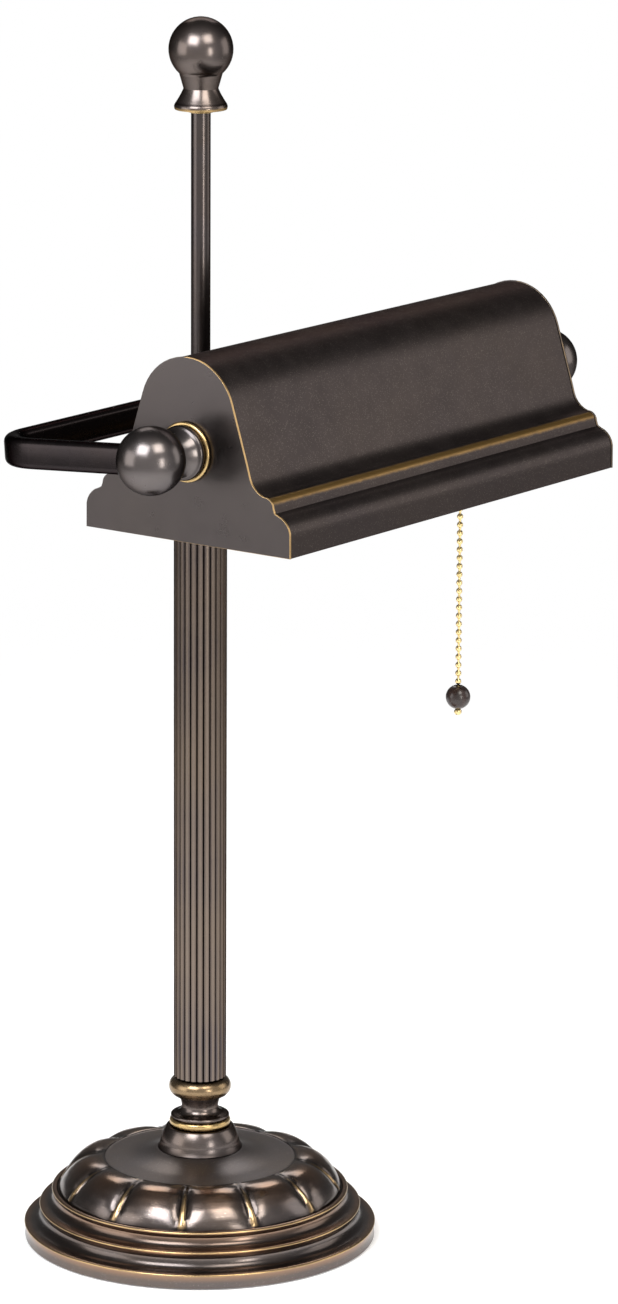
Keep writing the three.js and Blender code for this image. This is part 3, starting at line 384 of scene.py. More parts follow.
def brass(name, **changes):
    v = {**brassBasics, **changes}
    material, tree, shader, place = startMaterial(name)
    tone = useGroup(tree, patina, {"Place": place, "Size": v["cloudSize"], "Contrast": 2.0})
    aged = maths(tree, "MULTIPLY", tone.outputs["Cloud"], v["tarnished"])
    colour = blendColours(tree, aged, v["colour"], v["tarnish"])
    # darker where marked: patina at the collar bead's ends and around its spigot
    colour = blendColours(tree, attribute(tree, "hollow"), colour, v["hollow"])
    rough = blendNumbers(tree, tone.outputs["Smear"], v["rough"], v["rough"] + v["uneven"])
    lines = useGroup(tree, toolLines, {"Place": place, "Stretch": v["lines"]})
    bump = addBump(tree, lines.outputs["Height"], v["lineDepth"])
    fillInputs(tree, shader, {"Base Color": colour, "Roughness": rough, "Normal": bump, "Metallic": 1.0})
    return material


ringBrass = brass("ringBrass", lineDepth=0.000005)
pivotBrass = brass("pivotBrass", lines=(1800, 40, 40), lineDepth=0.000004)
beadBrass = brass("beadBrass", colour=(0.33, 0.235, 0.13), tarnish=(0.15, 0.105, 0.07), tarnished=0.7,
                  lineDepth=0.000003)
chainBrass = brass("chainBrass", colour=(0.92, 0.74, 0.37), tarnish=(0.62, 0.44, 0.17), cloudSize=320,
                   tarnished=0.4, rough=0.18, lineDepth=0.000004)
socketBrass = brass("socketBrass", colour=(0.74, 0.58, 0.29), lines=(1800, 40, 40), rough=0.24)
screwBrass = brass("screwBrass", colour=(0.52, 0.38, 0.17), lines=(40, 2600, 40), tarnished=0.7)
zincSteel = brass("zincSteel", colour=(0.56, 0.56, 0.57), tarnish=(0.36, 0.36, 0.37), tarnished=0.5,
                  rough=0.28, lines=(1500, 200, 200), hollow=(0.08, 0.08, 0.08))


# ---- the other finishes

# a plain finish with its own cloudiness and grain; colours differ by clouds
def plainFinish(name, v):
    material, tree, shader, place = startMaterial(name)
    stretched = addNode(tree, "ShaderNodeVectorMath", {0: place, 1: v["stretch"]},
                        operation="MULTIPLY").outputs[0]
    tone = useGroup(tree, patina, {"Place": stretched, "Size": v["cloudSize"], "Contrast": v["contrast"]})
    colour = blendColours(tree, tone.outputs["Cloud"], v["dark"], v["light"])
    rough = blendNumbers(tree, tone.outputs["Smear"], v["rough"], v["rough"] + v["uneven"])
    grain = addNode(tree, "ShaderNodeTexNoise", {"Vector": stretched, "Scale": v["grain"], "Detail": 4.0})
    bump = addBump(tree, grain.outputs["Fac"], v["grainDepth"])
    fillInputs(tree, shader, {"Base Color": colour, "Roughness": rough, "Normal": bump, **v.get("extra", {})})
    return material


plainBasics = {"contrast": 1.5, "stretch": (1, 1, 1), "uneven": 0.12}
plainFinishes = {
    "castIron": {
        "dark": (0.022, 0.022, 0.024), "light": (0.06, 0.057, 0.055), "cloudSize": 60, "contrast": 2.0,
        "rough": 0.6, "uneven": 0.25, "grain": 400, "grainDepth": 0.0004, "extra": {"Metallic": 0.5},
    },
    "greenFelt": {
        "dark": (0.010, 0.020, 0.013), "light": (0.030, 0.052, 0.034), "cloudSize": 700, "contrast": 2.4,
        "rough": 0.95, "uneven": 0.05, "grain": 1900, "grainDepth": 0.0006, "extra": {"Sheen Weight": 0.5},
    },
    "blackPhenolic": {
        "dark": (0.014, 0.012, 0.011), "light": (0.030, 0.024, 0.02), "cloudSize": 160,
        "rough": 0.35, "uneven": 0.15, "grain": 900, "grainDepth": 0.00003,
    },
    "cardFibre": {
        "dark": (0.33, 0.24, 0.14), "light": (0.50, 0.40, 0.26), "cloudSize": 400, "contrast": 2.0,
        "stretch": (0.3, 1, 1), "rough": 0.8, "uneven": 0.15, "grain": 1500, "grainDepth": 0.0002,
    },
    "blackPlastic": {
        "dark": (0.012, 0.012, 0.012), "light": (0.024, 0.023, 0.022), "cloudSize": 200,
        "rough": 0.42, "grain": 1400, "grainDepth": 0.00008,
    },
    "shadeInside": {
        "dark": (0.46, 0.43, 0.39), "light": (0.55, 0.51, 0.46), "cloudSize": 30, "contrast": 1.3,
        "stretch": (0.3, 1, 1), "rough": 0.42, "uneven": 0.1, "grain": 900, "grainDepth": 0.00002,
        "extra": {"Metallic": 1.0},
    },
    "darkWood": {
        "dark": (0.006, 0.003, 0.0025), "light": (0.030, 0.012, 0.008), "cloudSize": 220, "contrast": 2.2,
        "stretch": (1, 1, 0.12), "rough": 0.28, "grain": 1500, "grainDepth": 0.00006,
        "extra": {"Coat Weight": 0.35, "Coat Roughness": 0.12},
    },
    "bulbPearl": {
        "dark": (0.90, 0.89, 0.85), "light": (0.95, 0.945, 0.92), "cloudSize": 90, "contrast": 1.0,
        "rough": 0.22, "uneven": 0.08, "grain": 2200, "grainDepth": 0.00002,
        "extra": {"Transmission Weight": 0.35},
    },
    "stemGlass": {
        "dark": (0.90, 0.93, 0.92), "light": (0.96, 0.97, 0.97), "cloudSize": 120, "contrast": 1.0,
        "rough": 0.04, "uneven": 0.04, "grain": 500, "grainDepth": 0.00001,
        "extra": {"Transmission Weight": 0.9},
    },
}
finishes = {name: plainFinish(name, {**plainBasics, **values}) for name, values in plainFinishes.items()}
print("materials are made")


# ---- modelling tools; a profile is drawn in the XZ plane in millimetres

def roundOff(bm, geom, radius, steps=5, kind="VERTICES"):
    bmesh.ops.bevel(bm, geom=geom, affect=kind, offset=radius * mm, offset_type="OFFSET", segments=steps,
                    profile=0.5, material=-1)


def pointsIn(made, key="geom"):
    return [item for item in made[key] if isinstance(item, bmesh.types.BMVert)]


def facesIn(made, key="geom"):
    return [item for item in made[key] if isinstance(item, bmesh.types.BMFace)]


def turnFacesOut(bm):
    bmesh.ops.recalc_face_normals(bm, faces=bm.faces)


# moves some points, or all of them, in millimetres
def shift(bm, x=0.0, y=0.0, z=0.0, points=None):
    bmesh.ops.translate(bm, verts=points or bm.verts, vec=(x * mm, y * mm, z * mm))
    return bm


# Each station is (across, up), then its rounding if it has one. A station of ("about", across, up, degrees)
# swings the last point round that centre.
def drawProfile(bm, stations, closed=True):
    corners = []
    first = last = None
    for station in stations:
        if station[0] == "about":
            centre = Vector((station[1], 0, station[2])) * mm
            steps = max(3, round(abs(station[3]) / 7))
            swung = bmesh.ops.spin(bm, geom=[last], cent=centre, axis=(0, -1, 0),
                                   angle=math.radians(station[3]), steps=steps, use_merge=False)
            last = pointsIn(swung, "geom_last")[0]
            continue
        point = bm.verts.new((station[0] * mm, 0, station[1] * mm))
        if last:
            bm.edges.new((last, point))
        if len(station) > 2:
            corners.append((point, station[2]))
        first, last = first or point, point
    if closed:
        bm.edges.new((last, first))
    for point, rounding in corners:
        roundOff(bm, [point], rounding)


# cuts the profile's long edges so that no piece of them is longer than this
def divideLong(bm, longest):
    for edge in list(bm.edges):
        cuts = math.ceil(edge.calc_length() / (longest * mm)) - 1
        if cuts > 0:
            bmesh.ops.subdivide_edges(bm, edges=[edge], cuts=cuts)


def turn(bm, steps):
    bmesh.ops.spin(bm, geom=bm.verts[:] + bm.edges[:], cent=(0, 0, 0), axis=(0, 0, 1), angle=2 * math.pi,
                   steps=steps, use_merge=True)
    bmesh.ops.remove_doubles(bm, verts=bm.verts, dist=1e-6)
    turnFacesOut(bm)


def turned(stations, steps=96, longest=None, closed=True):
    bm = bmesh.new()
    drawProfile(bm, stations, closed)
    if longest:
        divideLong(bm, longest)
    turn(bm, steps)
    return bm


def rotate(bm, degrees, axis, centre=(0, 0, 0)):
    bmesh.ops.rotate(bm, verts=bm.verts, cent=centre, matrix=Matrix.Rotation(math.radians(degrees), 3, axis))
    return bm


# lays what stands along Z along X, pointing outwards on that side
def layAlongX(bm, side=1):
    return rotate(bm, 90 * side, "Y")


def layAlongY(bm):
    return rotate(bm, -90, "X")


def makeObject(name, bm):
    mesh = bpy.data.meshes.new(name)
    bm.to_mesh(mesh)
    bm.free()
    piece = bpy.data.objects.new(name, mesh)
    scene.collection.objects.link(piece)
    return piece


def applyModifiers(piece):
    solved = piece.evaluated_get(bpy.context.evaluated_depsgraph_get())
    mesh = bpy.data.meshes.new_from_object(solved)
    piece.modifiers.clear()
    piece.data = mesh
    mesh.name = piece.name


def cutAway(piece, *tools):
    for tool in tools:
        cutter = makeObject("cutter", tool)
        step = piece.modifiers.new("cut", "BOOLEAN")
        step.operation, step.solver, step.object = "DIFFERENCE", "EXACT", cutter
        applyModifiers(piece)
        bpy.data.objects.remove(cutter)


# a rule gives a point's share from its place in millimetres
def mark(piece, name, rule):
    layer = piece.data.attributes.new(name, "FLOAT", "POINT")
    layer.data.foreach_set("value", [min(1.0, max(0.0, rule(*(v.co / mm)))) for v in piece.data.vertices])


def finishPiece(piece, body, material, node, sharp=35):
    if material:
        piece.data.materials.clear()
        piece.data.materials.append(finishes.get(material, material))
    piece.data.shade_smooth()
    piece.data.set_sharp_from_angle(angle=math.radians(sharp))
    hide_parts(node)
    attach(piece, body)


# makes a piece whose name is its node's, with the rules of its attributes
def addPiece(node, bm, body, slot, material, sharp=35, **rules):
    first, *others = node.split("_")
    piece = makeObject(first + "".join(word.capitalize() for word in others), bm)
    for name, rule in rules.items():
        mark(piece, name, rule)
    finishPiece(piece, body, material, node, sharp)


def boxOf(node):
    low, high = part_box(node)
    return low / mm, high / mm, (low + high) / 2 / mm


def near(value, target, reach):
    return 1 - abs(value - target) / reach


# a wide drill or milling tool along Z
def drill(radius, bottom, top, steps=32):
    return turned([(0, bottom), (radius, bottom), (radius, top), (0, top)], steps)


# ---- base

low, high, _ = boxOf("felt_pad")
padLine = [(0, 0), (high.x, 0, 0.5), (high.x, high.z, 0.3), (0, high.z)]
addPiece("felt_pad", turned(padLine, 128, 6), "stand", "felt", "greenFelt")

base = {
    "lobes": 12, "stepsPerLobe": 20, "swell": 3.0, "ribHeight": 1.9, "ribFoot": 2.3, "ribTip": 0.55,
    "outer": 71.4, "inner": 48.5, "scallop": 2.2, "wall": 1.6, "cordHole": 3.9,
}
baseLine = [
    (88.5, 0.5, 0.3), (88.1, 3.2, 2.0), (88.9, 7.3, 0.45), (88.1, 7.8, 0.4),
    (79.7, 7.95, 5.0), (79.7, 13.0, 1.6), (81.3, 16.35, 0.45), (80.5, 16.95, 0.4),
    (73.4, 17.2, 4.4), (73.4, 21.7, 1.5), (75.0, 24.3, 0.6), (74.0, 25.1, 0.7),
    (72.4, 25.1, 0.5), (71.9, 24.2, 0.3), (71.4, 24.2), ("about", 37.785, 2.184, 41.2), (47.7, 40.3, 0.6),
    (29.5, 41.6, 8.0), (21.6, 45.55, 0.4), (5.1, 45.6),
]
rubbedEdges = [(88.7, 7.35), (81.05, 16.4), (74.75, 24.5)]
# painted shade in the coves under the two lower rubbed edges
shadedCorners = [((80.4, 9.3), 3.5), ((74.0, 18.5), 3.2)]


# crowds the columns of points towards the ribs, then swells the lobes and raises the ribs between them
def swellLobes(bm, v):
    pitch = 2 * math.pi / v["lobes"]
    shares = {}
    for point in bm.verts:
        radius = math.hypot(point.co.x, point.co.y) / mm
        turnShare = (math.atan2(point.co.y, point.co.x) / pitch) % 1
        across = math.sin((turnShare - 0.5) * math.pi)
        angle = (math.floor(math.atan2(point.co.y, point.co.x) / pitch) + 0.5 + across / 2) * pitch
        height = point.co.z / mm
        if v["inner"] - 0.3 <= radius <= v["outer"] + 0.1 and height > 23:
            share = (v["outer"] - radius) / (v["outer"] - v["inner"])
            rib = v["ribFoot"] + (v["ribTip"] - v["ribFoot"]) * share
            half = radius * pitch / 2
            gap = half * (1 - abs(across))
            inside = min(1.0, abs(across) * half / max(half - rib, 1))
            innerEnd = v["scallop"] * inside**3 / (v["outer"] - v["inner"])
            along = min(1.0, max(0.0, share / max(1e-6, 1 - innerEnd)))
            roundEnds = max(0.0, math.sin(math.pi * along)) ** (0.55 if along < 0.5 else 0.85)
            lift = v["swell"] * math.sqrt(max(0.0, 1 - inside**2.4)) * roundEnds
            ribShape = math.sqrt(max(0.0, 1 - (gap / rib) ** 2))
            ribLong = max(0.0, math.sin(math.pi * min(1.0, share / 0.9))) ** 0.35 * (1 - 0.6 * share)
            lift = max(lift, v["ribHeight"] * ribShape * ribLong)
            radius += 0.5 * lift
            height += 0.85 * lift
            shares[point.index] = (inside, share, ribShape * ribLong)
        point.co = Vector((radius * math.cos(angle), radius * math.sin(angle), height)) * mm
    return shares


def makeBase(v):
    bm = bmesh.new()
    drawProfile(bm, baseLine, closed=False)
    divideLong(bm, 1.5)
    turn(bm, v["lobes"] * v["stepsPerLobe"])
    if bm.faces[0].normal.dot(bm.faces[0].calc_center_median()) < 0:
        bmesh.ops.reverse_faces(bm, faces=bm.faces)
    bm.verts.ensure_lookup_table()
    bm.verts.index_update()
    shares = swellLobes(bm, v)
    piece = makeObject("baseShell", bm)
    for name in ("rubbed", "copper", "hollow", "satin"):
        piece.data.attributes.new(name, "FLOAT", "POINT")
    layers = [piece.data.attributes[name] for name in ("rubbed", "copper", "hollow", "satin")]
    for point in piece.data.vertices:
        x, y, z = point.co / mm
        radius = math.hypot(x, y)
        edges = [math.hypot(radius - r, z - h) for r, h in rubbedEdges]
        rubbed = 0.9 * max(near(edge, 0, 1.15) for edge in edges)
        copper = 0.9 * max(near(edges[0], 0.8, 3.2), near(edges[1], 0.8, 3.2), near(edges[2], 2.0, 5.0))
        hollow = 0.0
        satin = 1.0 if radius < 47.8 else 0.0
        if point.index in shares:
            inside, share, rib = shares[point.index]
            copper = 0.9 * (1 - inside**2) ** 1.5 * max(0.0, near(share, 0.62, 0.42))
            innerEdge = 0.55 * near(share, 0.965, 0.05) * (1 - 0.4 * inside)
            rubbed = max(rubbed, 1.2 * rib * (1 - 0.6 * share), innerEdge)
            # painted shade: the lobes darken beside the ribs and at their outer ends, and the groove inside
            # the upper step darkens too
            hollow = 0.75 * max(0.0, near(inside, 1.0, 0.14)) * (1 - rib)
            hollow += 0.8 * max(0.0, near(share, 0.0, 0.07))
        elif z < 24.6 and 70 < radius < 72.3 and z > 22:
            hollow = 0.8
        corners = [0.6 * near(math.hypot(radius - r, z - h), 0, reach) for (r, h), reach in shadedCorners]
        hollow = max(hollow, *corners)
        for layer, value in zip(layers, (rubbed, copper, hollow, satin)):
            layer.data[point.index].value = min(1.0, max(0.0, value))
    wall = piece.modifiers.new("wall", "SOLIDIFY")
    wall.thickness, wall.offset = v["wall"] * mm, -1
    applyModifiers(piece)
    return piece


baseShell = makeBase(base)
_, bushingHigh, bushingMiddle = boxOf("cord_bushing")
cutAway(baseShell, shift(layAlongY(drill(base["cordHole"], 79.72, 92)), z=bushingMiddle.z))
finishPiece(baseShell, "stand", baseBronze, "base_shell", sharp=50)

bushing = {"bore": 2.1, "sleeve": 2.8, "flange": 3.5, "lip": 1.4, "length": 6.3}
b, end = bushing, bushingHigh.y
face = end - b["lip"]
back = face - b["length"]
bushingLine = [(b["bore"], back), (b["sleeve"], back), (b["sleeve"], face), (b["flange"], face, 0.3),
               (b["flange"] - 0.4, end, 0.5), (b["bore"] + 0.2, end, 0.5), (b["bore"], face - 1)]
bm = shift(layAlongY(turned(bushingLine, 40)), z=bushingMiddle.z)
addPiece("cord_bushing", bm, "stand", "black_plastic", "blackPlastic")
print("base is made")


# ---- post

bore = 5.06


# the node's low and high corners, its radius and its height
def measure(node):
    low, high, _ = boxOf(node)
    return low, high, high.x, high.z - low.z


def addTurned(node, stations, low, slot, material, **rules):
    addPiece(node, shift(turned(stations, 96, 1.0), z=low.z), "stand", slot, material, **rules)


cup = {"flare": 0.9, "fill": 0.64, "top": 16.6}
low, high, w, h = measure("bell_cup")
cupLine = [(bore, 0), (w + cup["flare"], 0, 0.05), (w - 0.6, 1.9, 2.2), (w - 0.9, cup["fill"] * h, 4.4),
           (cup["top"], h, 0.5), (bore, h)]
# painted shade darkens the cup's foot, and it is made duller there, hiding the highlight where it meets the
# base
addTurned("bell_cup", cupLine, low, "dark_bronze", turnedBronze,
          hollow=lambda x, y, z: 0.7 * near(z, low.z, 3.0), satin=lambda x, y, z: near(z, low.z, 3.0))

low, high, w, h = measure("check_ring")
ringLine = [(bore, 0), (w - 0.9, 0), (w + 0.05, 0.12 * h, 0.9), (w + 0.05, 0.88 * h, 0.9), (w - 0.9, h),
            (bore, h)]
addTurned("check_ring", ringLine, low, "rubbed_brass", ringBrass)

spool = {"foot": 2.7, "waist": 9.7, "waistTop": 9.0, "mouth": 10.3}
low, high, w, h = measure("neck_spool")
spoolLine = [(bore, 0), (w - 0.6, 0, 0.3), (w + 0.1, 0.9, 0.8), (w - 0.6, 2.1, 0.7),
             (spool["waist"], spool["foot"], 3.0), (spool["waistTop"], 6.6, 2.2), (spool["mouth"], h, 0.2),
             (bore, h)]
# painted shade darkens the spool's top, under the collar bead
addTurned("neck_spool", spoolLine, low, "dark_bronze", turnedBronze,
          hollow=lambda x, y, z: 0.8 * near(z, high.z, 2.2))

collarBead = {"section": 5.1, "shoulder": 10.3, "spigot": 10.1}
low, high, w, h = measure("collar_bead")
c, centre = collarBead, w - collarBead["section"]
beadLine = [(bore, 0), (centre - 1.2, 0, 0.4), (centre, 0.02), ("about", centre, c["section"], 180),
            (centre - 1.0, c["shoulder"]), (c["spigot"], c["shoulder"]), (c["spigot"], h), (bore, h)]


# the bead darkens with patina at its ends and around its spigot
def hollowOfBead(x, y, z):
    ends = near(z, low.z, 2.6), near(z, low.z + collarBead["shoulder"], 2.2)
    return 0.85 * max(*ends, near(math.hypot(x, y), 9.5, 2.0))


addTurned("collar_bead", beadLine, low, "rubbed_brass", beadBrass, hollow=hollowOfBead)

column = {"reeds": 24, "groove": 0.85, "bore": 10.4}

# one reed from groove to groove: share of its width, depth below its top
reedLine = [(0, column["groove"]), (0.1, 0.32), (0.2, 0.1), (0.35, 0.02), (0.5, 0), (0.65, 0.02), (0.8, 0.1),
            (0.9, 0.32), (1, column["groove"])]


# one reed's outline is copied round and drawn up
def makeColumn(v, low, high):
    pitch = 2 * math.pi / v["reeds"]
    bm = bmesh.new()
    points = []
    for share, depth in reedLine:
        corner = Vector((high.x - depth, 0, low.z)) * mm
        points.append(bm.verts.new(Matrix.Rotation(share * pitch, 3, "Z") @ corner))
    for first, second in zip(points, points[1:]):
        bm.edges.new((first, second))
    bmesh.ops.spin(bm, geom=bm.verts[:] + bm.edges[:], cent=(0, 0, 0), axis=(0, 0, 1), angle=2 * math.pi,
                   steps=v["reeds"], use_duplicate=True)
    bmesh.ops.remove_doubles(bm, verts=bm.verts, dist=1e-5)
    ring = bmesh.ops.create_circle(bm, segments=96, radius=v["bore"] * mm)
    shift(bm, z=low.z, points=ring["verts"])
    floor = bmesh.ops.bridge_loops(bm, edges=bm.edges[:])
    risen = bmesh.ops.extrude_face_region(bm, geom=floor["faces"], use_keep_orig=True)
    shift(bm, z=high.z - low.z, points=pointsIn(risen))
    turnFacesOut(bm)
    return bm


low, high, _ = boxOf("column")
# painted shade darkens the grooves between the reeds by their depth; the reed tops are marked rubbed
addPiece("column", makeColumn(column, low, high), "stand", "dark_bronze", reedBronze, sharp=60,
         hollow=lambda x, y, z: 1.15 * (high.x - math.hypot(x, y)) / column["groove"],
         rubbed=lambda x, y, z: 0.7 * near(math.hypot(x, y), high.x, 0.12))

columnCap = {"inner": 9.9, "spigot": 4.0, "top": 8.4}
low, high, w, h = measure("column_cap")
c, s = columnCap, columnCap["spigot"]
capLine = [(bore, 0), (c["inner"], 0), (c["inner"], s), (w - 0.9, s, 0.2), (w + 0.4, s + 1.2, 1.0),
           (w + 0.4, s + 3.2, 1.0), (w - 1.2, s + 4.5, 0.5), (9.2, s + 5.4, 2.4), (c["top"], h, 0.3),
           (bore + 0.03, h)]
addTurned("column_cap", capLine, low, "dark_bronze", turnedBronze,
          rubbed=lambda x, y, z: 0.5 * near(math.hypot(x, y), w, 0.9))

rod = {"bore": 3.3, "slotWidth": 4.0, "slotBelow": 8.0, "slotAbove": 133.0, "slotRound": 1.9}
low, high, _ = boxOf("upper_rod")
_, _, hubMiddle = boxOf("yoke_hub")
rodLine = [(rod["bore"], low.z), (-low.y, low.z, 0.3), (-low.y, high.z, 0.3), (rod["bore"], high.z)]
upperRod = makeObject("upperRod", turned(rodLine, 64))
slot = bmesh.new()
bmesh.ops.create_cube(slot, size=1)
slotLow, slotHigh = hubMiddle.z - rod["slotBelow"], hubMiddle.z + rod["slotAbove"]
bmesh.ops.scale(slot, verts=slot.verts, vec=(8 * mm, rod["slotWidth"] * mm, (slotHigh - slotLow) * mm))
roundOff(slot, [e for e in slot.edges if abs(e.verts[0].co.x - e.verts[1].co.x) > 1e-4], rod["slotRound"],
         kind="EDGES")
cutAway(upperRod, shift(slot, x=4.8, z=(slotLow + slotHigh) / 2))
finishPiece(upperRod, "stand", rodBronze, "upper_rod")

low, high, _ = boxOf("finial_ring")
rodHole, w = 5.09, high.x
ringLine = [(rodHole, low.z), (w - 0.6, low.z), (w + 0.05, low.z + 0.1, 0.35), (w + 0.05, high.z - 0.1, 0.35),
            (rodHole, high.z)]
addPiece("finial_ring", turned(ringLine, 64), "stand", "rubbed_brass", ringBrass)

ballFoot = {"foot": 13.1, "shoulder": 11.6, "waist": 6.8, "neck": 8.1, "join": 9.4}


# a ball on a waisted neck and a flared foot, drawn up from the foot's face; the ball's middle is the origin
def makeBallOnFoot(ballRadius, footDistance, holeRadius, holeDepth, v):
    f = -footDistance
    swing = 90 + math.degrees(math.acos(v["join"] / ballRadius))
    join = (v["join"], -math.sqrt(ballRadius**2 - v["join"] ** 2))
    line = [(holeRadius, f), (v["foot"] - 0.3, f, 0.3), (v["foot"], f + 1.6, 0.5),
            (v["foot"] - 0.4, f + 2.7, 0.4), (v["shoulder"], f + 3.4, 0.5),
            (v["neck"] + 1.0, f + v["waist"], 3.5), (v["neck"], f + 10.2, 0.8), join,
            ("about", 0, 0, swing), (0, f + holeDepth), (holeRadius, f + holeDepth)]
    return turned(line, 96, 1.2)


finial = {**ballFoot, "shoulder": 12.2, "waist": 7.6, "neck": 8.5, "join": 10.6, "depth": 18.0}
low, high, _ = boxOf("finial")
bm = makeBallOnFoot(high.y, high.z - high.y - low.z, rodHole, finial["depth"], finial)
# painted shade darkens the groove above the foot's rim
addPiece("finial", shift(bm, z=high.z - high.y), "stand", "dark_bronze", turnedBronze,
         rubbed=lambda x, y, z: 1.2 * near(z, low.z, 1.9),
         hollow=lambda x, y, z: 0.7 * near(z, low.z + 3.1, 0.8))
print("post is made")


# ---- height collar and its screw

heightCollar = {"edge": 0.8, "screwHole": 2.3}
low, high, middle = boxOf("height_collar")
edge = heightCollar["edge"]
line = [(rodHole, low.z, 0.3), (high.x, low.z, edge), (high.x, high.z, edge), (rodHole, high.z, 0.3)]
piece = makeObject("heightCollar", turned(line, 80, 2.0))
cutAway(piece, shift(layAlongY(drill(heightCollar["screwHole"], 4, 30)), z=middle.z))
finishPiece(piece, "height_slider", turnedBronze, "height_collar")

thumbscrew = {"flutes": 20, "flute": 0.55, "head": 5.0, "shank": 2.0, "neck": 3.4, "dish": 0.7}


# a screw with a fluted head, its face dished
def makeThumbscrew(v):
    low, high, middle = boxOf("thumbscrew")
    radius, face, headBack = high.x, high.y, high.y - v["head"]
    line = [(0, low.y), (v["shank"] - 0.4, low.y), (v["shank"], low.y + 0.5), (v["shank"], headBack - 0.9),
            (v["neck"], headBack - 0.6, 0.2), (v["neck"], headBack, 0.2), (radius, headBack, 0.6),
            (radius, face, 0.7), (radius - 2.2, face, 0.6), (radius - 3.0, face - v["dish"], 0.5),
            (0, face - v["dish"])]
    bm = turned(line, v["flutes"] * 4, 1.0)
    for point in bm.verts:
        reach = math.hypot(point.co.x, point.co.y) / mm
        if reach > radius - 0.5:
            cut = v["flute"] * max(0.0, math.cos(v["flutes"] * math.atan2(point.co.y, point.co.x)))
            scale = (reach - cut) / reach
            point.co.x, point.co.y = point.co.x * scale, point.co.y * scale
    return shift(layAlongY(bm), z=middle.z)


addPiece("thumbscrew", makeThumbscrew(thumbscrew), "lock_screw", "rubbed_brass", screwBrass)


# ---- yoke

_, _, pivot = boxOf("pivot_ring_right")
rightLow, rightHigh, _ = boxOf("pivot_knob_right")
ballRadius = (rightHigh.z - rightLow.z) / 2
armSpan = rightHigh.x - ballRadius
hubZ = hubMiddle.z
reach = math.hypot(pivot.y, pivot.z - hubZ)
rise = math.degrees(math.atan2(pivot.z - hubZ, -pivot.y))
fit = 0.3  # the gap left between an arm and what it is let into
bar = {"height": 14.4, "width": 8.4, "round": 3.4, "bend": 25.0, "start": 9.9, "past": 2.0}


# tilts what was made flat round the hub up to the yoke's own plane
def raiseYoke(bm):
    return shift(rotate(bm, -rise, "X"), z=hubZ)


# a rounded bar drawn out along X, swung round the bend and drawn forward
def makeArm(side, v, grow=0.0):
    half, tall, start = v["width"] / 2 + grow, v["height"] / 2 + grow, v["start"] - grow
    bm = bmesh.new()
    corners = [(start, -half, -tall), (start, half, -tall), (start, half, tall), (start, -half, tall)]
    bm.faces.new([bm.verts.new(Vector(corner) * mm) for corner in corners])
    roundOff(bm, bm.verts[:], v["round"], steps=6)
    along = armSpan - v["bend"] - v["start"] + grow
    forward = reach + v["past"] - v["bend"] + grow
    drawn = bmesh.ops.extrude_face_region(bm, geom=bm.faces[:])
    shift(bm, x=along, points=pointsIn(drawn))
    swung = bmesh.ops.spin(bm, geom=facesIn(drawn), cent=Vector((armSpan - v["bend"], -v["bend"], 0)) * mm,
                           axis=(0, 0, 1), angle=-math.pi / 2, steps=18, use_merge=False)
    drawn = bmesh.ops.extrude_face_region(bm, geom=facesIn(swung, "geom_last"))
    shift(bm, y=-forward, points=pointsIn(drawn))
    bmesh.ops.holes_fill(bm, edges=[edge for edge in bm.edges if len(edge.link_faces) == 1], sides=0)
    if side < 0:
        bmesh.ops.scale(bm, verts=bm.verts, vec=(-1, 1, 1))
    turnFacesOut(bm)
    return raiseYoke(bm)


hub = {"edge": 1.0, "screwAcross": 12.45, "screwHole": 1.9}
low, high, _ = boxOf("yoke_hub")
hubLine = [(rodHole, low.z, 0.4), (high.x, low.z, hub["edge"]), (high.x, high.z, hub["edge"]),
           (rodHole, high.z, 0.4)]
yokeHub = makeObject("yokeHub", turned(hubLine, 96, 3.0))
for side in (-1, 1):
    hole = shift(layAlongY(drill(hub["screwHole"], 3, 20, 24)), x=side * hub["screwAcross"])
    cutAway(yokeHub, makeArm(side, bar, grow=fit), raiseYoke(hole))
finishPiece(yokeHub, "yoke", turnedBronze, "yoke_hub")

armScrew = {"radius": 1.55, "length": 3.5, "inner": 4.5, "across": 0.85, "deep": 1.6}
knobScrew = {"radius": 1.95, "length": 7.4, "below": 7.6, "hole": 2.2, "across": 0.85, "deep": 1.6}


# a headless screw with a six-sided socket in its outer end, put in place by a matrix
def addGrubScrew(node, matrix, v):
    first, second, last = node.split("_")
    radius, length = v["radius"], v["length"]
    line = [(0, 0), (radius - 0.25, 0), (radius, 0.3), (radius, length, 0.15), (0, length)]
    piece = makeObject(first + second.capitalize() + last.capitalize(), turned(line, 24))
    socket = bmesh.new()
    bmesh.ops.create_cone(socket, cap_ends=True, segments=6, radius1=v["across"] * mm,
                          radius2=v["across"] * mm, depth=2 * v["deep"] * mm)
    cutAway(piece, shift(socket, z=length))
    piece.data.transform(matrix)
    finishPiece(piece, "yoke", zincSteel, node)


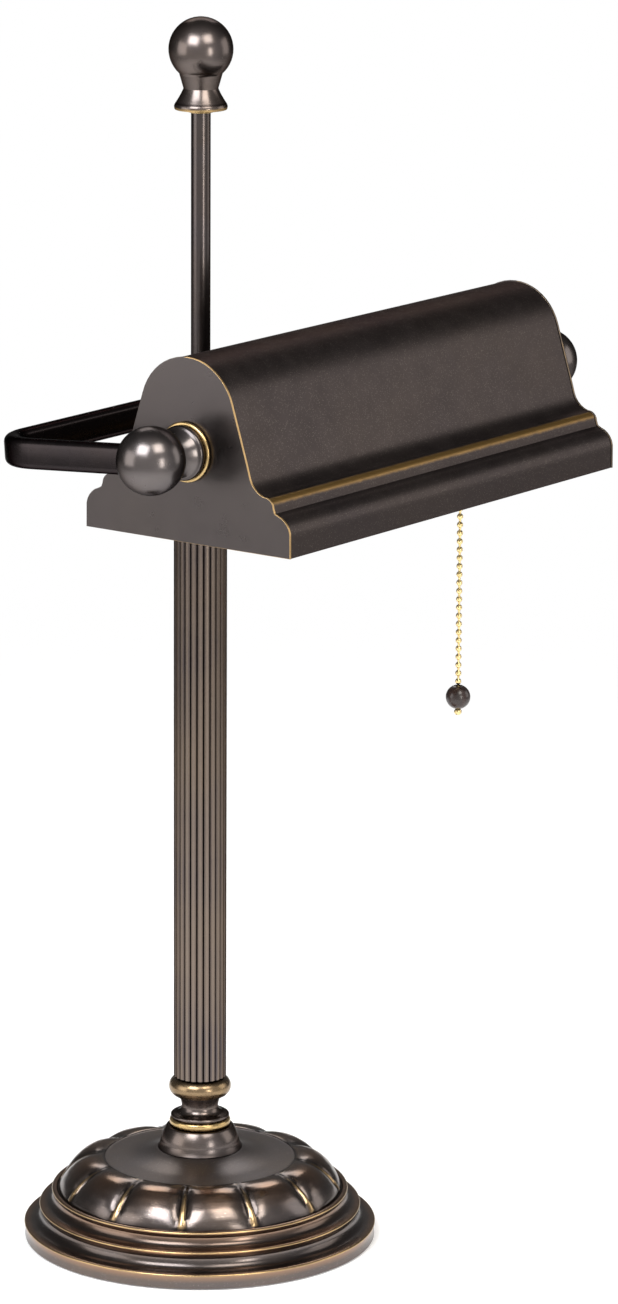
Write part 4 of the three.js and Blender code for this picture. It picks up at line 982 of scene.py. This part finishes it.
knob = {**ballFoot, "reach": 24.26, "depth": 17.3, "shadedGroove": 21.2}
tilt = Matrix.Translation((0, 0, hubZ * mm)) @ Matrix.Rotation(math.radians(-rise), 4, "X")
for word, side in (("left", -1), ("right", 1)):
    addPiece("yoke_arm_" + word, makeArm(side, bar), "yoke", "dark_bronze", shadedBarBronze)

    place = Matrix.Translation((side * hub["screwAcross"] * mm, armScrew["inner"] * mm, 0))
    addGrubScrew("arm_screw_" + word, tilt @ place @ Matrix.Rotation(math.radians(-90), 4, "X"), armScrew)

    bm = makeBallOnFoot(ballRadius, knob["reach"], bore, knob["depth"], knob)
    piece = makeObject("pivotKnob" + word.capitalize(),
                       shift(layAlongX(bm, side), x=side * armSpan, y=pivot.y, z=pivot.z))
    screwHole = shift(drill(knobScrew["hole"], -20, 0, 24), x=side * armSpan, y=-reach)
    cutAway(piece, makeArm(side, bar, grow=fit), raiseYoke(screwHole))
    # painted shade darkens the groove between the knob's foot and its brass ring
    mark(piece, "hollow", lambda x, y, z: 0.6 * near(abs(x), armSpan - knob["shadedGroove"], 0.8))
    finishPiece(piece, "yoke", knobBronze, "pivot_knob_" + word)

    place = Matrix.Translation((side * armSpan * mm, -reach * mm, -knobScrew["below"] * mm))
    addGrubScrew("knob_screw_" + word, tilt @ place @ Matrix.Rotation(math.pi, 4, "X"), knobScrew)
print("yoke is made")


# ---- pivots

thread = {"radius": 4.72, "inside": 3.3, "pitch": 0.94, "depth": 0.42}


# a tube with rings of thread cut in its outside
def makeThreadedTube(start, end, v):
    radius, root, inside, pitch = v["radius"], v["radius"] - v["depth"], v["inside"], v["pitch"]
    line = [(inside, start), (root, start)]
    for i in range(int((end - start - 1.0) / pitch)):
        line += [(root, start + 0.5 + i * pitch), (radius, start + 0.5 + (i + 0.5) * pitch)]
    line += [(root, end), (inside, end)]
    return layAlongX(turned(line, 32))


# a six-sided nut, its corners chamfered as a turned blank that is then milled flat
def makeHexNut(start, end, flats, hole):
    corner, face = flats / 2 / math.cos(math.pi / 6), flats / 2 - 0.2
    line = [(hole, start, 0.3), (face, start), (corner, start + 0.9), (corner, end - 0.9), (face, end),
            (hole, end, 0.3)]
    bm = turned(line, 72, 0.8)
    for point in bm.verts:
        angle = (math.degrees(math.atan2(point.co.y, point.co.x)) + 30) % 60 - 30
        limit = flats / 2 / math.cos(math.radians(angle))
        reach = math.hypot(point.co.x, point.co.y) / mm
        if reach > limit:
            point.co.x *= limit / reach
            point.co.y *= limit / reach
    return layAlongX(bm)


def atPivot(bm, side=1):
    if side < 0:
        rotate(bm, 180, "Z")
    return shift(bm, y=pivot.y, z=pivot.z)


# turns an outline along the pivot's axis and puts it there
def turnedAcross(stations, steps, longest=None, side=1):
    return atPivot(layAlongX(turned(stations, steps, longest)), side)


def spanOf(node):
    low, high, _ = boxOf(node)
    return sorted((abs(low.x), abs(high.x)))


pivotRing = {"bead": 1.0, "fuller": 0.3}
pivotWasher = {"radius": 9.5}
pivotNut = {"flats": 16.0}
for word, side in (("left", -1), ("right", 1)):
    start, end = spanOf("pivot_ring_" + word)
    w, full, bead = boxOf("pivot_ring_" + word)[1].z - pivot.z, pivotRing["fuller"], pivotRing["bead"]
    line = [(bore, start), (w - 1.0, start), (w + full, start + 0.1, bead), (w + full, end - 0.1, bead),
            (w - 1.0, end), (bore, end)]
    bm = turnedAcross(line, 96, 1.0, side)
    addPiece("pivot_ring_" + word, bm, "yoke", "rubbed_brass", pivotBrass)

    bm = atPivot(makeThreadedTube(*spanOf("pivot_stud_" + word), thread), side)
    addPiece("pivot_stud_" + word, bm, "yoke", "plated_steel", zincSteel, sharp=70)

    start, end = spanOf("pivot_washer_" + word)
    w = pivotWasher["radius"]
    line = [(bore, start, 0.2), (w, start, 0.25), (w, end, 0.25), (bore, end, 0.2)]
    addPiece("pivot_washer_" + word, turnedAcross(line, 64, 1.5, side), "yoke", "plated_steel", zincSteel)

    bm = atPivot(makeHexNut(*spanOf("pivot_nut_" + word), pivotNut["flats"], bore), side)
    addPiece("pivot_nut_" + word, bm, "yoke", "plated_steel", zincSteel)
print("pivots are made")


# ---- shade; its outline is (forward, up) from the pivot

outline = [
    (59.6, -43.1), (59.5, -31.8), (58.3, -25.4, 5.5), (52.6, -23.8), (50.7, -22.8), (49.9, -20.8),
    (49.5, -16.3, 4.0), (44.5, -15.9), (38.3, -14.5, 6.2), (34.3, -1.0),
]
crown = {"height": 17.2, "radius": 27.2, "start": 16.6}
shade = {"sheet": 1.0, "proud": 0.4, "plate": 1.2, "plateRound": 0.2, "goldEdge": 0.4,
         "edgeGold": {-1: 1.0, 1: 0.32}}


# the outline's front half from the lip to the top, in the YZ plane, then its mirror behind
def drawOutline(bm):
    c, start = crown, math.radians(crown["start"])
    arcStart = (c["radius"] * math.cos(start), c["height"] + c["radius"] * math.sin(start))
    drawProfile(bm, [*outline, arcStart, ("about", 0, c["height"], 90 - crown["start"])], closed=False)
    divideLong(bm, 2.0)
    for point in bm.verts:
        point.co.x, point.co.y = 0.0, -point.co.x
    copied = bmesh.ops.duplicate(bm, geom=bm.verts[:] + bm.edges[:])
    bmesh.ops.scale(bm, verts=pointsIn(copied), vec=(1, -1, 1))
    bmesh.ops.remove_doubles(bm, verts=bm.verts, dist=1e-5)


ridge = {"forward": 48.2, "up": -17.2, "reach": 3.3}
coves = [(39.5, -13.2, 5.5), (50.6, -22.3, 3.0)]


# how near a point is to a line along the shade, in front or behind
def nearLine(y, z, forward, up, reach):
    return near(math.hypot(abs(y - pivot.y) - forward, z - pivot.z - up), 0, reach)


plateLow, _, _ = boxOf("end_plate_right")
skinHalf = boxOf("shade_skin")[1].x


# turns an open sheet's faces the same way, so that the top one looks up
def turnTopUp(bm):
    turnFacesOut(bm)
    top = max(bm.faces, key=lambda f: f.calc_center_median().z)
    if top.normal.z < 0:
        bmesh.ops.reverse_faces(bm, faces=bm.faces)


def makeSkin(v):
    bm = bmesh.new()
    drawOutline(bm)
    shift(bm, x=-skinHalf)
    pulled = bmesh.ops.extrude_edge_only(bm, edges=bm.edges[:])
    shift(bm, x=2 * skinHalf, points=pointsIn(pulled))
    turnTopUp(bm)
    piece = makeObject("shadeSkin", atPivot(bm))
    mark(piece, "rubbed", lambda x, y, z: 1.05 * nearLine(y, z, *ridge.values()))
    # painted shade darkens the two coves along the shade
    mark(piece, "hollow", lambda x, y, z: 0.25 * max(nearLine(y, z, *cove) for cove in coves))
    wall = piece.modifiers.new("wall", "SOLIDIFY")
    wall.thickness = v["sheet"] * mm
    wall.offset = -1 - 2 * v["proud"] / v["sheet"]
    wall.use_even_offset = True
    wall.material_offset = 1
    wall.material_offset_rim = 0
    for material in (shadeBronze, finishes["shadeInside"]):
        piece.data.materials.append(material)
    applyModifiers(piece)
    return piece


def makePlate(side, v):
    bm = bmesh.new()
    drawOutline(bm)
    bm.edges.new([point for point in bm.verts if len(point.link_edges) == 1])
    bmesh.ops.contextual_create(bm, geom=bm.edges[:])
    rubbed = bm.verts.layers.float.new("rubbed")
    edge = bm.verts[:]
    bmesh.ops.inset_region(bm, faces=bm.faces[:], use_boundary=True, thickness=v["goldEdge"] * mm, depth=0)
    # the edge band's gold is full on a plate's front half and 0.3 of that behind; the right plate takes 0.32
    # of the left's
    for point in edge:
        point[rubbed] = v["edgeGold"][side] * (1.0 if point.co.y * side < 0 else 0.3)
    body = bmesh.ops.extrude_face_region(bm, geom=bm.faces[:], use_keep_orig=True)
    shift(bm, x=v["plate"], points=pointsIn(body))
    turnFacesOut(bm)
    flat = [e for e in bm.edges if e.is_manifold and abs(e.verts[0].co.x - e.verts[1].co.x) < 1e-6]
    roundOff(bm, [e for e in flat if e.calc_face_angle(0) > 1.2], v["plateRound"], steps=2, kind="EDGES")
    return atPivot(shift(bm, x=plateLow.x), side)


finishPiece(makeSkin(shade), "shade", None, "shade_skin", sharp=32)

for word, side in (("left", -1), ("right", 1)):
    plate = makeObject("endPlate" + word.capitalize(), makePlate(side, shade))
    cutAway(plate, atPivot(layAlongX(drill(bore, -170, 170, 48))))
    finishPiece(plate, "shade", plateBronze, "end_plate_" + word)
print("shade is made")


# ---- lamp holder in the shade's right-hand end

bracket = {"inner": 113.0, "top": 19.0, "foot": -10.5, "half": 9.0, "thick": 1.2, "bend": 2.6, "corner": 3.0}


# a strap bent over the pivot's nut, drilled through both legs
def makeBracket(v):
    outer = spanOf("socket_bracket")[1]
    bm = bmesh.new()
    drawProfile(bm, [(outer, v["foot"]), (outer, v["top"], v["bend"]), (v["inner"], v["top"], v["bend"]),
                     (v["inner"], v["foot"])], closed=False)
    drawn = bmesh.ops.extrude_edge_only(bm, edges=bm.edges[:])
    shift(bm, y=-v["half"])
    shift(bm, y=2 * v["half"], points=pointsIn(drawn))
    roundOff(bm, [p for p in bm.verts if p.co.z < (v["foot"] + 0.1) * mm], v["corner"])
    turnTopUp(bm)
    piece = makeObject("socketBracket", bm)
    wall = piece.modifiers.new("wall", "SOLIDIFY")
    wall.thickness, wall.offset, wall.use_even_offset = v["thick"] * mm, -1, True
    applyModifiers(piece)
    cutAway(piece, layAlongX(drill(bore, 100, 140, 48)))
    piece.data.transform(Matrix.Translation((0, pivot.y * mm, pivot.z * mm)))
    return piece


socketLocknut = {"flats": 15.0}
finishPiece(makeBracket(bracket), "shade", zincSteel, "socket_bracket")
bm = atPivot(makeThreadedTube(*spanOf("socket_nipple"), thread))
addPiece("socket_nipple", bm, "shade", "plated_steel", zincSteel, sharp=70)
bm = atPivot(makeHexNut(*spanOf("socket_locknut"), socketLocknut["flats"], bore))
addPiece("socket_locknut", bm, "shade", "plated_steel", zincSteel)

chainX = boxOf("chain_bell")[2].x
holder = {"capWall": 0.9, "shellWall": 0.8, "shellRadius": 16.2, "hole": 3.5}
front, back = spanOf("socket_cap")
w, t = boxOf("socket_cap")[1].z - pivot.z, holder["capWall"]
capLine = [(w - t, front), (w, front, 0.2), (w, front + 1.4, 0.2), (w - 0.3, front + 1.7),
           (w - 0.3, back - 7.0, 4.0), (w - 4.0, back, 2.6), (bore, back), (bore, back - t),
           (w - 4.4, back - t, 2.4), (w - t - 0.3, back - 7.2, 3.6), (w - t - 0.3, front + 1.7),
           (w - t, front + 1.4)]
addPiece("socket_cap", turnedAcross(capLine, 72, 1.5), "shade", "bright_brass", socketBrass)

front, back = spanOf("socket_shell")
w, t = holder["shellRadius"], holder["shellWall"]
shellLine = [(w - t, front), (w + 0.7, front, 0.3), (w + 0.7, front + 1.4, 0.3), (w, front + 2.2, 0.3),
             (w, front + 8.0), (w - 0.35, front + 8.8, 0.5), (w, front + 9.6), (w, back), (w - t, back)]
shell = makeObject("socketShell", turnedAcross(shellLine, 72, 2.5))
cutAway(shell, shift(drill(holder["hole"], -20, -4), x=chainX, y=pivot.y, z=pivot.z))
finishPiece(shell, "shade", socketBrass, "socket_shell")


def atChain(bm):
    return shift(bm, x=chainX, y=pivot.y)


bell = {"mouth": 4.2, "stem": 3.2, "throat": 2.0}
low, high, _ = boxOf("chain_bell")
bellLine = [(bell["throat"], low.z + 2.8, 0.8), (bell["mouth"] - 0.5, low.z, 0.2),
            (bell["mouth"], low.z + 0.1, 0.2), (bell["stem"], low.z + 2.0, 1.4),
            (bell["stem"], high.z), (bell["throat"], high.z)]
addPiece("chain_bell", atChain(turned(bellLine, 40)), "shade", "bright_brass", chainBrass)

bulb = {"base": 12.9, "glass": 15.9, "neck": 12.1, "wall": 0.8, "threadDepth": 0.6, "pitch": 3.6, "turns": 4}
front, tip = spanOf("bulb_base")
w = bulb["base"]
capLine = [(w - 1.1, front), (w, front, 0.2)]
for i in range(bulb["turns"]):
    middle = front + 3.4 + i * bulb["pitch"]
    capLine += [(w, middle - 0.9, 0.5), (w - bulb["threadDepth"], middle, 0.5), (w, middle + 0.9, 0.5)]
capLine += [(w, tip - 5.0, 0.8), (8.5, tip - 2.4), (4.5, tip - 2.2), (4.0, tip - 0.5, 0.4), (0, tip),
            (0, tip - 6), (w - 1.1, tip - 6)]
addPiece("bulb_base", turnedAcross(capLine, 64), "shade", "plated_steel", zincSteel)

far = boxOf("bulb_glass")[0].x
w, neck, t = bulb["glass"], bulb["neck"], bulb["wall"]
glassLine = [(0, far), ("about", 0, far + w, 90), (w, front - 8, 4.0), (neck, front - 1.0, 1.2),
             (neck, front + 5), (neck - t, front + 5), (neck - t, front - 1.2, 1.2),
             (w - t, front - 8.2, 4.0), (w - t, far + w), ("about", 0, far + w, -90)]
addPiece("bulb_glass", turnedAcross(glassLine, 64, 6.0), "shade", "bulb_glass", "bulbPearl")

low, high, _ = boxOf("bulb_stem")
root, top, flare = high.x, low.x, high.z - pivot.z
stemLine = [(0, top), (2.2, top + 0.3, 0.6), (2.2, top + 2.9, 0.6), (1.1, top + 3.6), (1.1, root - 34),
            (3.2, root - 30, 2.0), (3.4, root - 8, 2.0), (flare, root - 1.2), (flare, root, 0.3), (0, root)]
addPiece("bulb_stem", turnedAcross(stemLine, 40, 4.0), "shade", "bulb_glass", "stemGlass")
print("lamp holder and bulb are made")


# ---- pull chain

hook = {"rod": 0.9, "ring": 0.95, "wire": 0.5, "ringUp": 1.5}


# a rod with a ring at its lower end
def makeHook(v, low, high):
    line = [(0, low.z + 2.6), (v["rod"], low.z + 2.6), (v["rod"], high.z - 0.3), (v["rod"] - 0.3, high.z),
            (0, high.z)]
    piece = makeObject("chainHook", turned(line, 20))
    ring = bmesh.new()
    bmesh.ops.create_circle(ring, segments=12, radius=v["wire"] * mm)
    rotate(shift(ring, x=v["ring"]), 90, "X")
    turn(ring, 24)
    other = makeObject("ring", shift(rotate(ring, 90, "Y"), z=low.z + v["ringUp"]))
    step = piece.modifiers.new("join", "BOOLEAN")
    step.operation, step.solver, step.object = "UNION", "EXACT", other
    applyModifiers(piece)
    bpy.data.objects.remove(other)
    piece.data.transform(Matrix.Translation((chainX * mm, pivot.y * mm, 0)))
    return piece


low, high, _ = boxOf("chain_hook")
finishPiece(makeHook(hook, low, high), "switch_pull", chainBrass, "chain_hook")

coupler = {"tip": 1.1, "body": 2.1, "waist": 1.85}
low, high, _ = boxOf("chain_coupler")
w, waist = coupler["body"], coupler["waist"]
couplerLine = [(0, low.z), (coupler["tip"], low.z), (w, low.z + 0.7, 0.5), (w, low.z + 2.2),
               (waist, low.z + 2.5), (w, low.z + 2.8), (w, high.z - 0.8, 0.5), (0.9, high.z), (0, high.z)]
addPiece("chain_coupler", atChain(turned(couplerLine, 32)), "chain_link", "bright_brass", chainBrass)

chain = {"pitch": 4.2, "bead": 1.6, "link": 0.6, "steps": 10, "arcSteps": 5}


# beads on a wire; each bead is one arc in a few steps
def makeChain(v, low, high):
    half = math.degrees(math.acos(v["link"] / v["bead"]))
    line = [(0, low.z)]
    for i in range(round((high.z - low.z) / v["pitch"])):
        middle = low.z + (i + 0.5) * v["pitch"]
        line.append((v["link"], middle - v["bead"] * math.sin(math.radians(half))))
        for k in range(1, v["arcSteps"] + 1):
            angle = math.radians(-half + 2 * half * k / v["arcSteps"])
            line.append((v["bead"] * math.cos(angle), middle + v["bead"] * math.sin(angle)))
    return turned([*line, (0, high.z)], v["steps"])


low, high, _ = boxOf("pull_chain")
addPiece("pull_chain", atChain(makeChain(chain, low, high)), "chain", "bright_brass", chainBrass, sharp=55)

low, high, middle = boxOf("pull_ball")
ballHole, ballWide = chain["bead"] + 0.3, high.x - chainX
ballHigh = math.sqrt(ballWide**2 - ballHole**2)
swing = 2 * math.degrees(math.asin(ballHigh / ballWide))
ballLine = [(ballHole, middle.z - ballHigh), ("about", 0, middle.z, swing),
            (ballHole, middle.z + ballHigh - 0.2)]
addPiece("pull_ball", atChain(turned(ballLine, 64)), "chain", "dark_wood", "darkWood")

low, high, middle = boxOf("pull_tip")
tipLine = [(0, low.z), (1.2, low.z, 0.2), (2.15, middle.z, 0.8), (1.5, high.z, 0.2), (0, high.z)]
addPiece("pull_tip", atChain(turned(tipLine, 32)), "chain", "bright_brass", chainBrass)
print("chain is made")


# ---- the plain inner parts keep their own shapes

innerParts = {
    "base_weight": "castIron", "base_nut": zincSteel, "base_washer": zincSteel, "stem_pipe": zincSteel,
    "socket_liner": "cardFibre", "switch_body": "blackPhenolic", "screw_shell": socketBrass,
    "centre_contact": socketBrass, "lead_stand": "blackPlastic", "lead_yoke": "blackPlastic",
    "lead_shade": "blackPlastic",
}
for name, material in innerParts.items():
    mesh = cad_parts[name].data
    mesh.materials.clear()
    mesh.materials.append(finishes.get(material, material))
print("inner parts are painted")
